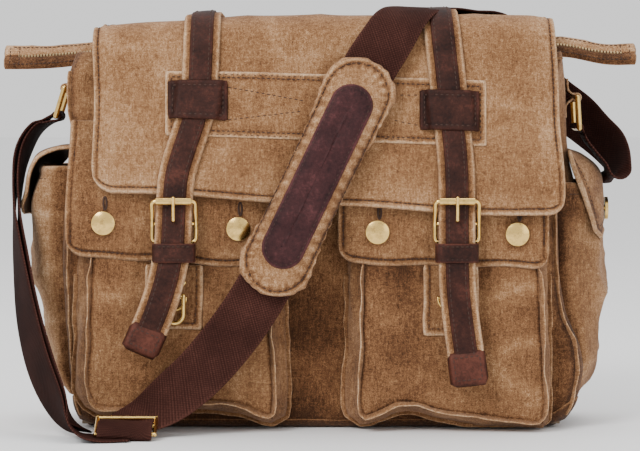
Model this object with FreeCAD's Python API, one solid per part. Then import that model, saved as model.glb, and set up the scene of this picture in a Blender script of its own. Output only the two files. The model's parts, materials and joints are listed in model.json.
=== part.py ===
"""Canvas messenger bag with a buckled front flap, two cargo pockets and a webbing shoulder strap.

Row frame: millimetres, +X to the bag's right as seen from the front, +Y to the back, +Z up.
The origin is the centre of the base, on the surface that the bag stands on.

The front of the bag is a stack of layers that all follow one line, FLAP_LINE, drawn in the YZ plane from
the flap's sewn edge at the back, over the top and down the front. A layer between two distances from
that line, cut to an outline drawn in the XZ plane, makes each flat piece of the front.
"""
import FreeCAD, Part
import math
import os

V = FreeCAD.Vector

# Body of the bag
HALF_WIDTH = 183.0
HALF_DEPTH = 54.0
RIM = 270.0
CANVAS = 2.4
BASE = 3.0
LINING = 1.2
BOARD = 2.5

# Front layers, as distances out from FLAP_LINE
FLAP_LINE = [(57.0, 252.0), (57.0, 296.0), (-62.0, 296.0), (-85.0, 120.0), (-85.0, 30.0)]
FLAP_RADII = [16.0, 20.0, 80.0]
FLAP_LINING = (-1.0, -0.15)
FLAP = (0.0, 3.0)
BAND = (3.05, 4.1)
STRAP = (4.2, 7.0)
STRAP_LEATHER = (7.0, 8.6)
TIP = (2.8, 8.6)
LOOP_TOP = (8.9, 10.4)
WEB_MIDDLE = 10.3
PAD = (11.6, 20.6)
PAD_FOAM = (13.1, 19.1)
PAD_LEATHER = (20.7, 21.9)

# Pockets on the front panel
POCKET_LINE = [(-66.4, 166.0), (-66.4, 128.0), (-73.0, 60.0), (-73.0, 12.0)]
POCKET_RADII = [60.0, 60.0]
POCKET_BOTTOM = 12.0
POCKET_HALF_WIDTH = 66.0
POCKET_CENTRES = {"left": -107.0, "right": 94.0}
POCKET_FLAP_LINE = [(-54.7, 226.0), (-70.6, 190.0), (-70.6, 100.0)]
POCKET_FLAP_RADII = [20.0]
POCKET_FLAP = 2.6
POCKET_FLAP_EDGES = {"left": (-185.0, -32.0, 130.0, 122.0), "right": (12.0, 166.0, 124.0, 119.0)}
SNAPS = {"left": [(-158.0, 152.0), (-60.0, 148.0)], "right": [(41.0, 145.5), (142.5, 144.0)]}
SNAP_RADIUS = 8.5
POST_RADIUS = 2.0
POST_HOLE = 2.15

# Main flap: below the seam, at the back, it is sewn down and doesn't move
FLAP_SEAM = 280.0
SEAM_GAP = 0.3
FLAP_LEFT, FLAP_RIGHT = -165.0, 175.0
FLAP_LOW_LEFT, FLAP_LOW_RIGHT = 176.0, 158.0
FLAP_CORNER = 14.0

# Closing straps, each a centre line of (x, z) points from the top to the tail
STRAP_HALF = 13.0
LEATHER_HALF = 7.4
STRAPS = {
    "left": [(-85.0, 330.0), (-88.0, 245.0), (-106.0, 178.0), (-106.0, 122.0), (-127.0, 60.0)],
    "right": [(82.0, 330.0), (93.0, 240.0), (98.0, 178.0), (98.0, 122.0), (107.0, 38.0)],
}
LOOP_PATCHES = {"left": (-89.0, 240.0), "right": (93.0, 232.0)}
TIP_LENGTH = 24.0

# Buckle: the roller bar lies in front of the strap, the two other bars behind it
BUCKLE_X = {"left": -106.0, "right": 98.0}
BUCKLE_WIRE = 1.6
BUCKLE_HALF = 15.7
ROLLER_BAR = (167.0, 11.8)
PRONG_BAR = (152.0, 1.2)
END_BAR = (139.0, 1.2)
ROLLER_RADIUS = 2.9
RUNNING = 0.08

# Snap hook behind each strap tail, and the ring on the pocket that it clips to
EYE_Z = 109.5
EYE_Y = -81.85
EYE_WIRE = 1.2
EYE_HALF = 7.6
HOOK_HALF = 6.5
HOOK_WIRE = 1.7
HOOK_BEND = -23.0
GATE_RADIUS = 1.1
CLIP_RING_Z = 98.0
CLIP_RING_Y = -75.3
CLIP_RING_RADIUS = 9.0
CLIP_WIRE = 1.1

# Side rings and shoulder strap
RING_WIRE = 1.9
RING_HALF = 21.0
RINGS = {"left": ((-190.5, 250.0), (-197.0, 229.0)), "right": ((190.5, 243.0), (192.0, 220.0))}
WEB_HALF = 19.0
WEB_THICK = 1.8

# Side pockets
SIDE_POCKET_X = 207.0
SIDE_POCKET_HALF = 38.0
SIDE_POCKET_Z = {-1: (26.0, 188.0), 1: (26.0, 176.0)}
SIDE_FLAP_LINES = {
    -1: [(184.8, 206.0), (211.5, 199.0), (211.5, 154.0)],
    1: [(184.8, 203.0), (210.6, 187.0), (210.6, 144.0)],
}
SIDE_FLAP_RADII = [10.0]
SIDE_FLAP = 2.2
SIDE_FLAP_HALF = 37.0
SIDE_SNAP_Z = {-1: 166.0, 1: 160.0}

# Zip along the top
ZIP_END = 165.0
ZIP_MOUTH = 20.0
ZIP_TOOTH = 2.4
ZIP_Z = 270.5
SLIDER_X = 146.0
PULL_PIVOT = 5.9
PULL_LENGTH = 17.0


def box(x0, x1, y0, y1, z0, z1):
    return Part.makeBox(x1 - x0, y1 - y0, z1 - z0, V(x0, y0, z0))


def rod(a, b, radius):
    return Part.makeCylinder(radius, a.distanceToPoint(b), a, b - a)


def fuse(shapes):
    return shapes[0].multiFuse(shapes[1:]).removeSplitter()


def offset_line(points, radii, d):
    """Edges in the XY plane of a polyline with rounded corners, moved d to the right of its direction."""
    directions = []
    for (a0, b0), (a1, b1) in zip(points, points[1:]):
        length = math.hypot(a1 - a0, b1 - b0)
        directions.append(((a1 - a0) / length, (b1 - b0) / length))
    moved = [(points[0][0] + d * directions[0][1], points[0][1] - d * directions[0][0])]
    for p, u, v in zip(points[1:-1], directions, directions[1:]):
        cross = u[0] * v[1] - u[1] * v[0]
        dot = u[0] * v[0] + u[1] * v[1]
        miter = d * math.tan(math.atan2(cross, dot) / 2)
        moved.append((p[0] + d * u[1] + miter * u[0], p[1] - d * u[0] + miter * u[1]))
    last = directions[-1]
    moved.append((points[-1][0] + d * last[1], points[-1][1] - d * last[0]))
    edges, start = [], V(*moved[0], 0)
    for corner, u, v, radius in zip(moved[1:-1], directions, directions[1:], radii):
        turn = math.atan2(u[0] * v[1] - u[1] * v[0], u[0] * v[0] + u[1] * v[1])
        r = radius + math.copysign(d, turn * d) if d else radius
        reach = r * math.tan(abs(turn) / 2)
        c = V(*corner, 0)
        into, out = c - V(*u, 0) * reach, c + V(*v, 0) * reach
        inward = (V(*v, 0) - V(*u, 0)).normalize()
        middle = c + inward * (r / math.cos(turn / 2) - r)
        edges.append(Part.LineSegment(start, into).toShape())
        edges.append(Part.Arc(into, middle, out).toShape())
        start = out
    edges.append(Part.LineSegment(start, V(*moved[-1], 0)).toShape())
    return edges


def strip(points, radii, d0, d1):
    """Flat face in the XY plane between two distances from a rounded polyline."""
    near = offset_line(points, radii, d0)
    far = offset_line(points, radii, d1)
    near_ends = near[0].Vertexes[0].Point, near[-1].Vertexes[-1].Point
    far_ends = far[0].Vertexes[0].Point, far[-1].Vertexes[-1].Point
    caps = [Part.LineSegment(a, b).toShape() for a, b in zip(near_ends, far_ends)]
    return Part.Face(Part.Wire(Part.__sortEdges__(near + far + caps)))


def yz_layer(points, radii, layer, x0, x1):
    """A strip drawn in (y, z), as thick as its layer, from x0 to x1."""
    face = strip(points, radii, *layer)
    turn = FreeCAD.Matrix(0, 0, 1, x0, 1, 0, 0, 0, 0, 1, 0, 0, 0, 0, 0, 1)
    return face.transformGeometry(turn).extrude(V(x1 - x0, 0, 0))


def front_layer(layer, outline):
    """A layer of the flap line, cut to a prism along Y, without the part sewn down at the back."""
    sewn = box(-240, 240, 0, 90, 200, FLAP_SEAM + SEAM_GAP)
    return yz_layer(FLAP_LINE, FLAP_RADII, layer, -240, 240).common(outline).cut(sewn)


def prism(points, y0=-140.0, y1=90.0):
    corners = [V(x, y0, z) for x, z in points]
    return Part.Face(Part.makePolygon(corners + corners[:1])).extrude(V(0, y1 - y0, 0))


def round_corners(shape, places, radius):
    """Fillets the edges along Y of a prism that pass through the given (x, z) places."""
    chosen = []
    for e in shape.Edges:
        a, b = e.Vertexes[0].Point, e.Vertexes[-1].Point
        if abs(a.x - b.x) + abs(a.z - b.z) < 1e-6:
            if any(math.hypot(a.x - x, a.z - z) < 1e-3 for x, z in places):
                chosen.append(e)
    return shape.makeFillet(radius, chosen)


def band_along(centres, half, z_top=None, z_low=None):
    """Outline of a strap of even width along a centre line of (x, z) points."""
    left, right = [], []
    for i, (x, z) in enumerate(centres):
        before, after = centres[max(i - 1, 0)], centres[min(i + 1, len(centres) - 1)]
        run = V(after[0] - before[0], 0, after[1] - before[1]).normalize()
        left.append((x + run.z * half, z - run.x * half))
        right.append((x - run.z * half, z + run.x * half))
    shape = prism(left + right[::-1])
    if z_top is not None:
        shape = shape.common(box(-250, 250, -150, 100, z_low, z_top))
    return shape


def stadium(centre, half_length, half_width, direction):
    """Outline with round ends, along a direction in the XZ plane."""
    u = V(direction[0], 0, direction[1]).normalize()
    w = V(u.z, 0, -u.x)
    c = V(centre[0], -140, centre[1])
    straight = half_length - half_width
    a, b = c + u * straight, c - u * straight
    edges = [
        Part.LineSegment(b + w * half_width, a + w * half_width).toShape(),
        Part.Arc(a + w * half_width, a + u * half_width, a - w * half_width).toShape(),
        Part.LineSegment(a - w * half_width, b - w * half_width).toShape(),
        Part.Arc(b - w * half_width, b - u * half_width, b + w * half_width).toShape(),
    ]
    return Part.Face(Part.Wire(edges)).extrude(V(0, 140, 0))


def on_front(z, d):
    """Point (y, z) at height z of the flap line's straight front, moved d out."""
    (y0, z0), (y1, z1) = FLAP_LINE[2], FLAP_LINE[3]
    length = math.hypot(y1 - y0, z1 - z0)
    y = y0 + (y1 - y0) * (z0 - z) / (z0 - z1)
    return y + d * (z1 - z0) / length, z - d * (y1 - y0) / length


def both(build):
    """The same piece for the left and the right strap, as one group of separate solids."""
    return Part.makeCompound([build(side) for side in ("left", "right")])


# Body panels ---------------------------------------------------------------------------------------


def body_panels():
    w, d = HALF_WIDTH, HALF_DEPTH
    inner_w, inner_d = w - CANVAS, d - CANVAS
    front = box(-w, w, -d, -inner_d, BASE, RIM)
    lining = box(-inner_w, inner_w, -inner_d, inner_d, BASE + BOARD, RIM - 4)
    hollow = box(
        -inner_w + LINING, inner_w - LINING, -inner_d + LINING, inner_d - LINING, BASE + BOARD + LINING, RIM
    )
    return {
        "front_panel": front,
        "back_panel": box(-w, w, inner_d, d, BASE, RIM),
        "left_gusset": box(-w, -inner_w, -inner_d, inner_d, BASE, RIM),
        "right_gusset": box(inner_w, w, -inner_d, inner_d, BASE, RIM),
        "base_panel": box(-w, w, -d, d, 0, BASE),
        "base_board": box(-w + 7, w - 7, -d + 7, d - 7, BASE, BASE + BOARD),
        "lining": lining.cut(hollow),
    }


# Zip -----------------------------------------------------------------------------------------------


def zip_edge(side, inset):
    """Arc along one side of the open zip: far apart in the middle and close together at the ends."""
    end, middle = 4.2 - inset, ZIP_MOUTH - inset
    points = [V(-ZIP_END, side * end, 0), V(0, side * middle, 0), V(ZIP_END, side * end, 0)]
    return Part.Arc(*points).toShape()


def zip_facing(side):
    edge = zip_edge(side, 0)
    outer = side * HALF_DEPTH
    a, b = edge.Vertexes[0].Point, edge.Vertexes[-1].Point
    loop = [
        edge,
        Part.LineSegment(b, V(b.x, outer, 0)).toShape(),
        Part.LineSegment(V(b.x, outer, 0), V(a.x, outer, 0)).toShape(),
        Part.LineSegment(V(a.x, outer, 0), a).toShape(),
    ]
    face = Part.Face(Part.Wire(Part.__sortEdges__(loop)))
    return face.extrude(V(0, 0, 2.0)).translated(V(0, 0, ZIP_Z))


def zip_row(side):
    inner, outer = zip_edge(side, ZIP_TOOTH), zip_edge(side, 0.0)
    caps = [
        Part.LineSegment(inner.Vertexes[k].Point, outer.Vertexes[k].Point).toShape() for k in (0, -1)
    ]
    face = Part.Face(Part.Wire(Part.__sortEdges__([inner, outer, *caps])))
    return face.extrude(V(0, 0, 2.8)).translated(V(0, 0, ZIP_Z - 0.2))


def zip_end_tab(side):
    """Closed end of the zip, folded canvas that sticks out past the side of the bag and leans forward."""
    length, width, thick = 64.0, 22.0, 5.0
    tab = box(0, length, -width / 2, width / 2, -thick / 2, thick / 2)
    tab.rotate(V(0, 0, 0), V(1, 0, 0), 35)
    if side < 0:
        tab = tab.mirror(V(0, 0, 0), V(1, 0, 0))
    tab.translate(V(side * (ZIP_END + 0.05), -2, RIM + 9.0))
    return tab


def zip_slider():
    x, z = SLIDER_X, ZIP_Z
    top = box(x - 7, x + 7, -5.4, 5.4, z + 2.9, z + 4.1)
    low = box(x - 7, x + 7, -5.2, 5.2, z - 1.8, z - 0.6)
    post = box(x + 1, x + 6, -1.2, 1.2, z - 0.6, z + 2.9)
    bail_post = box(x - 1.6, x + 1.6, -1.6, 1.6, z + 4.1, z + PULL_PIVOT + 1.8)
    hole = rod(V(x, -6, z + PULL_PIVOT), V(x, 6, z + PULL_PIVOT), 1.0 + RUNNING)
    return fuse([top, low, post, bail_post]).cut(hole)


def zip_pull():
    """Pull lying flat towards the middle of the bag, with its pin through the slider's post."""
    x, z = SLIDER_X, ZIP_Z + PULL_PIVOT
    pin = rod(V(x, -4.4, z), V(x, 4.4, z), 1.0)
    arms = [box(x - 6, x + 1, y, y + 1.6, z - 0.7, z + 0.7) for y in (-4.4, 2.8)]
    plate = box(x - PULL_LENGTH, x - 5, -4.4, 4.4, z - 0.7, z + 0.7)
    return fuse([pin, *arms, plate])


# Front pockets -------------------------------------------------------------------------------------


def pocket_outline(side):
    c, h = POCKET_CENTRES[side], POCKET_HALF_WIDTH
    return prism([(c - h, POCKET_BOTTOM), (c + h, POCKET_BOTTOM), (c + h, 200), (c - h, 200)])


def pocket_front(side):
    sheet = yz_layer(POCKET_LINE, POCKET_RADII, (0.0, CANVAS), -240, 240)
    sheet = sheet.common(pocket_outline(side))
    for x, z in SNAPS[side]:
        sheet = sheet.cut(rod(V(x, -80, z), V(x, -60, z), POST_HOLE))
    return sheet


def pocket_gusset(side):
    """Strip that joins the pocket's front to the bag: two sides and a bottom."""
    line = offset_line(POCKET_LINE, POCKET_RADII, 0.0)
    top, low = V(*POCKET_LINE[0], 0), V(*POCKET_LINE[-1], 0)
    back_low, back_top = V(-HALF_DEPTH, POCKET_BOTTOM, 0), V(-HALF_DEPTH, POCKET_LINE[0][1], 0)
    loop = line + [
        Part.LineSegment(low, back_low).toShape(),
        Part.LineSegment(back_low, back_top).toShape(),
        Part.LineSegment(back_top, top).toShape(),
    ]
    face = Part.Face(Part.Wire(Part.__sortEdges__(loop)))
    c, h = POCKET_CENTRES[side], POCKET_HALF_WIDTH
    turn = FreeCAD.Matrix(0, 0, 1, c - h, 1, 0, 0, 0, 0, 1, 0, 0, 0, 0, 0, 1)
    block = face.transformGeometry(turn).extrude(V(2 * h, 0, 0))
    hollow = box(c - h + CANVAS, c + h - CANVAS, -90, 0, POCKET_BOTTOM + CANVAS, 200)
    return block.cut(hollow)


def pocket_flap(side):
    x0, x1, low0, low1 = POCKET_FLAP_EDGES[side]
    outline = prism([(x0, low0), (x1, low1), (x1 - 6, 240), (x0 + 8, 240)])
    outline = round_corners(outline, [(x0, low0), (x1, low1)], 15.0)
    sheet = yz_layer(POCKET_FLAP_LINE, POCKET_FLAP_RADII, (0.0, POCKET_FLAP), -240, 240)
    sheet = sheet.common(outline)
    for x, z in SNAPS[side]:
        sheet = sheet.cut(rod(V(x, -90, z), V(x, -60, z), POST_HOLE))
    return sheet


def snap_cap(x, z):
    """Domed brass cap on a pocket flap, with its post and the washer behind."""
    inner = POCKET_FLAP_LINE[1][0]
    outer = inner - POCKET_FLAP
    disc = rod(V(x, outer - 1.6, z), V(x, outer - 0.1, z), SNAP_RADIUS)
    dome_radius = 24.0
    sink = math.sqrt(dome_radius**2 - SNAP_RADIUS**2)
    ball = Part.makeSphere(dome_radius, V(x, outer - 1.6 + sink, z))
    dome = ball.common(rod(V(x, outer - 6, z), V(x, outer - 1.6, z), SNAP_RADIUS))
    post = rod(V(x, outer - 0.5, z), V(x, inner + 0.4, z), POST_RADIUS)
    washer = rod(V(x, inner + 0.1, z), V(x, inner + 0.8, z), 4.5)
    return fuse([disc, dome, post, washer])


def snap_stud(x, z):
    """Stud on the pocket's front under each cap."""
    inner = POCKET_LINE[0][0]
    outer = inner - CANVAS
    head = rod(V(x, outer - 0.6, z), V(x, outer - 0.05, z), 4.0)
    post = rod(V(x, outer - 0.3, z), V(x, inner + 0.4, z), POST_RADIUS)
    washer = rod(V(x, inner + 0.05, z), V(x, inner + 0.8, z), 4.5)
    return fuse([head, post, washer])


def clip_patch(side):
    """Canvas patch on the pocket behind the strap's tail."""
    c = POCKET_CENTRES[side]
    low = 76.0 if side == "left" else 71.0
    outline = prism([(c - 20, low), (c + 20, low), (c + 20, 121), (c - 20, 121)])
    return yz_layer(POCKET_LINE, POCKET_RADII, (CANVAS, CANVAS + 1.0), -240, 240).common(outline)


def clip_ring_tab(side):
    """Leather loop, sewn on the patch, that holds the clip ring."""
    x = POCKET_CENTRES[side]
    bar = V(x, CLIP_RING_Y, CLIP_RING_Z)
    tube = rod(bar - V(5.5, 0, 0), bar + V(5.5, 0, 0), CLIP_WIRE + RUNNING + 1.0)
    tube = tube.common(box(x - 6, x + 6, -90, -60, 90, 110))
    plate = box(x - 5.5, x + 5.5, CLIP_RING_Y - 0.4, CLIP_RING_Y + 0.8, CLIP_RING_Z, CLIP_RING_Z + 12)
    hole = rod(bar - V(9, 0, 0), bar + V(9, 0, 0), CLIP_WIRE + RUNNING)
    shape = fuse([tube, plate]).cut(hole)
    patch = yz_layer(POCKET_LINE, POCKET_RADII, (-20.0, CANVAS + 1.05), x - 20, x + 20)
    return shape.cut(patch)


def clip_ring(side):
    """D ring hanging from its loop."""
    x = POCKET_CENTRES[side]
    bar = V(x, CLIP_RING_Y, CLIP_RING_Z)
    r = CLIP_RING_RADIUS
    straight = rod(bar - V(r, 0, 0), bar + V(r, 0, 0), CLIP_WIRE)
    bow = Part.makeTorus(r, CLIP_WIRE, bar, V(0, 1, 0)).common(box(-250, 250, -120, 0, 0, bar.z))
    corners = [Part.makeSphere(CLIP_WIRE, bar + V(s * r, 0, 0)) for s in (-1, 1)]
    return fuse([straight, bow, *corners])


# Main flap and its straps --------------------------------------------------------------------------


def flap_outline(grow=0.0):
    places = [(FLAP_LEFT + grow, FLAP_LOW_LEFT + grow), (FLAP_RIGHT - grow, FLAP_LOW_RIGHT + grow)]
    shape = prism([*places, (FLAP_RIGHT - grow, 330), (FLAP_LEFT + grow, 330)])
    return round_corners(shape, places, FLAP_CORNER)


def flap_back():
    """The part of the flap that is sewn down on the back panel."""
    sewn = box(FLAP_LEFT, FLAP_RIGHT, 0, 90, 200, FLAP_SEAM)
    return yz_layer(FLAP_LINE, FLAP_RADII, (FLAP_LINING[0], FLAP[1]), -240, 240).common(sewn)


def cross_band():
    outline = prism([(-112, 261), (119, 252), (119, 208), (-112, 216)], y1=0.0)
    return front_layer(BAND, outline)


def strap_hole(side):
    """Slot in the strap that the buckle's prong passes through."""
    x = BUCKLE_X[side]
    y, z = on_front(PRONG_BAR[0], 6)
    return box(x - 2.2, x + 2.2, y - 12, y + 8, PRONG_BAR[0] - 6.6, PRONG_BAR[0] + 3.6)


def flap_strap(side):
    strap = front_layer(STRAP, band_along(STRAPS[side], STRAP_HALF))
    return strap.cut(strap_hole(side))


def strap_leather(side):
    low = STRAPS[side][-1][1]
    outline = band_along(STRAPS[side], LEATHER_HALF, 330, low + TIP_LENGTH + 1)
    return front_layer(STRAP_LEATHER, outline).cut(strap_hole(side))


def strap_tip(side):
    """Leather cap folded round the end of a strap."""
    *_, before, end = STRAPS[side]
    run = V(end[0] - before[0], 0, end[1] - before[1]).normalize()
    past = (end[0] + run.x * 1.5, end[1] + run.z * 1.5)
    start = (end[0] - run.x * TIP_LENGTH, end[1] - run.z * TIP_LENGTH)
    cap = front_layer(TIP, band_along([start, past], STRAP_HALF + 1.3))
    room = front_layer((STRAP[0] - 0.1, STRAP[1]), band_along([before, end], STRAP_HALF + 0.1))
    return cap.cut(room)


def strap_loop(side):
    """Leather patch sewn to the flap at both ends, with the strap passing under it."""
    x, z = LOOP_PATCHES[side]
    outline = prism([(x - 21, z - 12.5), (x + 21, z - 14), (x + 21, z + 12.5), (x - 21, z + 13.5)])
    top = front_layer(LOOP_TOP, outline)
    foot = front_layer((BAND[1] + 0.05, LOOP_TOP[1]), outline)
    room = band_along(STRAPS[side], STRAP_HALF + 1.0)
    return fuse([top, foot.cut(room)])


def keeper(side):
    """Leather ring round the strap and the buckle tab, just under the buckle."""
    x = BUCKLE_X[side]
    outline = prism([(x - 15.8, 124), (x + 15.8, 124), (x + 15.8, 136.5), (x - 15.8, 136.5)])
    opening = prism([(x - 14, 100), (x + 14, 100), (x + 14, 150), (x - 14, 150)])
    whole = front_layer((-3.4, 10.3), outline)
    return whole.cut(front_layer((-1.95, 8.85), opening))


def at(side, bar, dx):
    y, z = on_front(*bar)
    return V(BUCKLE_X[side] + dx, y, z)


def buckle_frame(side):
    h, r = BUCKLE_HALF, BUCKLE_WIRE
    parts = [rod(at(side, bar, -h), at(side, bar, h), r) for bar in (ROLLER_BAR, PRONG_BAR, END_BAR)]
    for s in (-h, h):
        a, b, c = (at(side, bar, s) for bar in (ROLLER_BAR, PRONG_BAR, END_BAR))
        parts += [rod(a, b, r), rod(b, c, r)]
        parts += [Part.makeSphere(r, p) for p in (a, b, c)]
    return fuse(parts)


def buckle_roller(side):
    a, b = at(side, ROLLER_BAR, -12.6), at(side, ROLLER_BAR, 12.6)
    return rod(a, b, ROLLER_RADIUS).cut(rod(a - V(1, 0, 0), b + V(1, 0, 0), BUCKLE_WIRE + RUNNING))


def buckle_prong(side):
    """Prong round the middle bar, out through the strap's slot and up to rest over the roller."""
    pivot = at(side, PRONG_BAR, 0)
    ring = rod(pivot - V(1.9, 0, 0), pivot + V(1.9, 0, 0), BUCKLE_WIRE + RUNNING + 1.0)
    bore = rod(pivot - V(3, 0, 0), pivot + V(3, 0, 0), BUCKLE_WIRE + RUNNING)
    knee = at(side, (PRONG_BAR[0] + 1.5, 13.1), 0)
    tip = at(side, (ROLLER_BAR[0] + 2.0, ROLLER_BAR[1] + ROLLER_RADIUS + 2.2), 0)
    parts = [rod(pivot, knee, 1.3), rod(knee, tip, 1.2), Part.makeSphere(1.3, knee), ring]
    return fuse([*parts, Part.makeSphere(1.2, tip)]).cut(bore)


def buckle_tab(side):
    """Leather tab folded round the buckle's middle bar, with the snap hook in its lower fold."""
    x = BUCKLE_X[side]
    outline = prism([(x - 11.5, EYE_Z), (x + 11.5, EYE_Z), (x + 11.5, 152), (x - 11.5, 152)])
    plate = front_layer((-1.7, -0.6), outline)
    narrow = prism([(x - 30, 90), (x - 3.4, 90), (x - 3.4, 114), (x - 30, 126)])
    other = prism([(x + 30, 90), (x + 3.4, 90), (x + 3.4, 114), (x + 30, 126)])
    plate = plate.cut(narrow).cut(other)
    pivot = at(side, PRONG_BAR, 0)
    fold = rod(pivot - V(11.5, 0, 0), pivot + V(11.5, 0, 0), 2.9)
    gap = rod(pivot - V(2.6, 0, 0), pivot + V(2.6, 0, 0), 3.6)
    bore = rod(pivot - V(15, 0, 0), pivot + V(15, 0, 0), BUCKLE_WIRE + 0.02)
    eye = V(x, EYE_Y, EYE_Z)
    low_fold = rod(eye - V(3.4, 0, 0), eye + V(3.4, 0, 0), 2.6)
    low_bore = rod(eye - V(8, 0, 0), eye + V(8, 0, 0), EYE_WIRE + 0.2)
    slot = box(x - 2.6, x + 2.6, pivot.y - 3, pivot.y + 4.2, pivot.z - 4, pivot.z + 6)
    return fuse([plate, fold, low_fold]).cut(gap).cut(bore).cut(low_bore).cut(slot)


def snap_hook(side):
    """Eye, neck and J-shaped hook, hanging from the buckle tab."""
    eye = V(BUCKLE_X[side], EYE_Y, EYE_Z)
    parts = []

    def bar(a, b, radius):
        parts.append(rod(eye + V(a[0], 0, a[1]), eye + V(b[0], 0, b[1]), radius))

    def ball(a, radius):
        parts.append(Part.makeSphere(radius, eye + V(a[0], 0, a[1])))

    bar((-EYE_HALF, 0), (EYE_HALF, 0), EYE_WIRE)
    for s in (-1, 1):
        bar((s * EYE_HALF, 0), (s * 2.7, -6), EYE_WIRE)
        ball((s * EYE_HALF, 0), EYE_WIRE)
    bar((-2.7, -6), (2.7, -6), EYE_WIRE)
    bar((0, -5.5), (0, -9.5), 2.2)
    bar((-HOOK_HALF, -9.5), (HOOK_HALF, -9.5), 1.5)
    bar((HOOK_HALF, -9.5), (HOOK_HALF, HOOK_BEND), HOOK_WIRE)
    ball((HOOK_HALF, -9.5), HOOK_WIRE)
    ball((-HOOK_HALF, HOOK_BEND), HOOK_WIRE)
    bar((-HOOK_HALF, -7.5), (-HOOK_HALF, -11.5), 2.1)
    bend = Part.makeTorus(HOOK_HALF, HOOK_WIRE, eye + V(0, 0, HOOK_BEND), V(0, 1, 0))
    parts.append(bend.common(box(-250, 250, -120, 0, 0, eye.z + HOOK_BEND)))
    tunnel = rod(eye + V(-HOOK_HALF, 0, -2.0), eye + V(-HOOK_HALF, 0, -14.0), GATE_RADIUS + RUNNING)
    return fuse(parts).cut(tunnel)


def hook_gate(side):
    """Sprung plunger that closes the hook's mouth, with its thumb knob."""
    eye = V(BUCKLE_X[side] - HOOK_HALF, EYE_Y, EYE_Z)
    plunger = rod(eye + V(0, 0, HOOK_BEND + HOOK_WIRE + 0.2), eye + V(0, 0, -9.0), GATE_RADIUS)
    knob = rod(eye + V(0, 0, -17.5), eye + V(-3.6, 0, -17.5), GATE_RADIUS)
    return fuse([plunger, knob])


# Side rings, side pockets and shoulder strap -------------------------------------------------------


def side_ring(side):
    (ux, uz), (lx, lz) = RINGS[side]
    r, h = RING_WIRE, RING_HALF
    corners = [V(ux, -h, uz), V(ux, h, uz), V(lx, h, lz), V(lx, -h, lz)]
    parts = [rod(a, b, r) for a, b in zip(corners, corners[1:] + corners[:1])]
    return fuse(parts + [Part.makeSphere(r, c) for c in corners])


def ring_tab(side):
    """Canvas loop sewn down the gusset, with the ring's upper bar in its fold."""
    sign = -1 if side == "left" else 1
    (ux, uz), _ = RINGS[side]
    wall = sign * HALF_WIDTH
    half = RING_HALF - RING_WIRE - 1.5
    bar = V(ux, 0, uz)
    tube = rod(bar - V(0, half, 0), bar + V(0, half, 0), RING_WIRE + RUNNING + 1.6)
    bore = rod(bar - V(0, 30, 0), bar + V(0, 30, 0), RING_WIRE + RUNNING)
    xs = sorted([wall, wall + sign * 1.8])
    plate = box(*xs, -half, half, uz - 14, uz + 14)
    xs = sorted([wall + sign * 1.0, ux])
    bridge = box(*xs, -half, half, uz + RING_WIRE + 0.1, uz + RING_WIRE + 1.6)
    return fuse([tube, plate, bridge]).cut(bore)


def mirror_x(shape):
    return shape.mirror(V(0, 0, 0), V(1, 0, 0))


def side_pocket(sign):
    x0, x1 = HALF_WIDTH + 0.1, SIDE_POCKET_X
    h, (z0, z1) = SIDE_POCKET_HALF, SIDE_POCKET_Z[sign]
    shape = box(x0, x1, -h, h, z0, z1)
    hollow = box(x0 - 5, x1 - CANVAS, -h + CANVAS, h - CANVAS, z0 + CANVAS, z1 + 5)
    hole = rod(V(x1 - 8, 0, SIDE_SNAP_Z[sign]), V(x1 + 8, 0, SIDE_SNAP_Z[sign]), POST_HOLE)
    shape = shape.cut(hollow).cut(hole)
    return shape if sign > 0 else mirror_x(shape)


def side_flap(sign):
    """Flap over a side pocket's mouth, drawn in the XZ plane for the left side."""
    line = [(-x, z) for x, z in SIDE_FLAP_LINES[sign]]
    face = strip(line, SIDE_FLAP_RADII, 0.0, SIDE_FLAP)
    turn = FreeCAD.Matrix(1, 0, 0, 0, 0, 0, 1, -SIDE_FLAP_HALF, 0, 1, 0, 0, 0, 0, 0, 1)
    shape = face.transformGeometry(turn).extrude(V(0, 2 * SIDE_FLAP_HALF, 0))
    hole = rod(V(-250, 0, SIDE_SNAP_Z[sign]), V(-190, 0, SIDE_SNAP_Z[sign]), POST_HOLE)
    shape = shape.cut(hole)
    return shape if sign < 0 else mirror_x(shape)


def side_snap_cap(sign):
    inner = SIDE_FLAP_LINES[sign][2][0]
    outer = inner + SIDE_FLAP
    z = SIDE_SNAP_Z[sign]
    cap = rod(V(outer + 0.1, 0, z), V(outer + 2.4, 0, z), SNAP_RADIUS)
    post = rod(V(outer + 0.5, 0, z), V(inner - 0.5, 0, z), POST_RADIUS)
    washer = rod(V(inner - 0.1, 0, z), V(inner - 0.8, 0, z), 4.5)
    shape = fuse([cap, post, washer])
    return shape if sign > 0 else mirror_x(shape)


def side_snap_stud(sign):
    x, z = SIDE_POCKET_X, SIDE_SNAP_Z[sign]
    head = rod(V(x + 0.05, 0, z), V(x + 0.7, 0, z), 4.0)
    post = rod(V(x + 0.3, 0, z), V(x - CANVAS - 0.3, 0, z), POST_RADIUS)
    washer = rod(V(x - CANVAS - 0.05, 0, z), V(x - CANVAS - 0.8, 0, z), 4.5)
    shape = fuse([head, post, washer])
    return shape if sign > 0 else mirror_x(shape)


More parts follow.
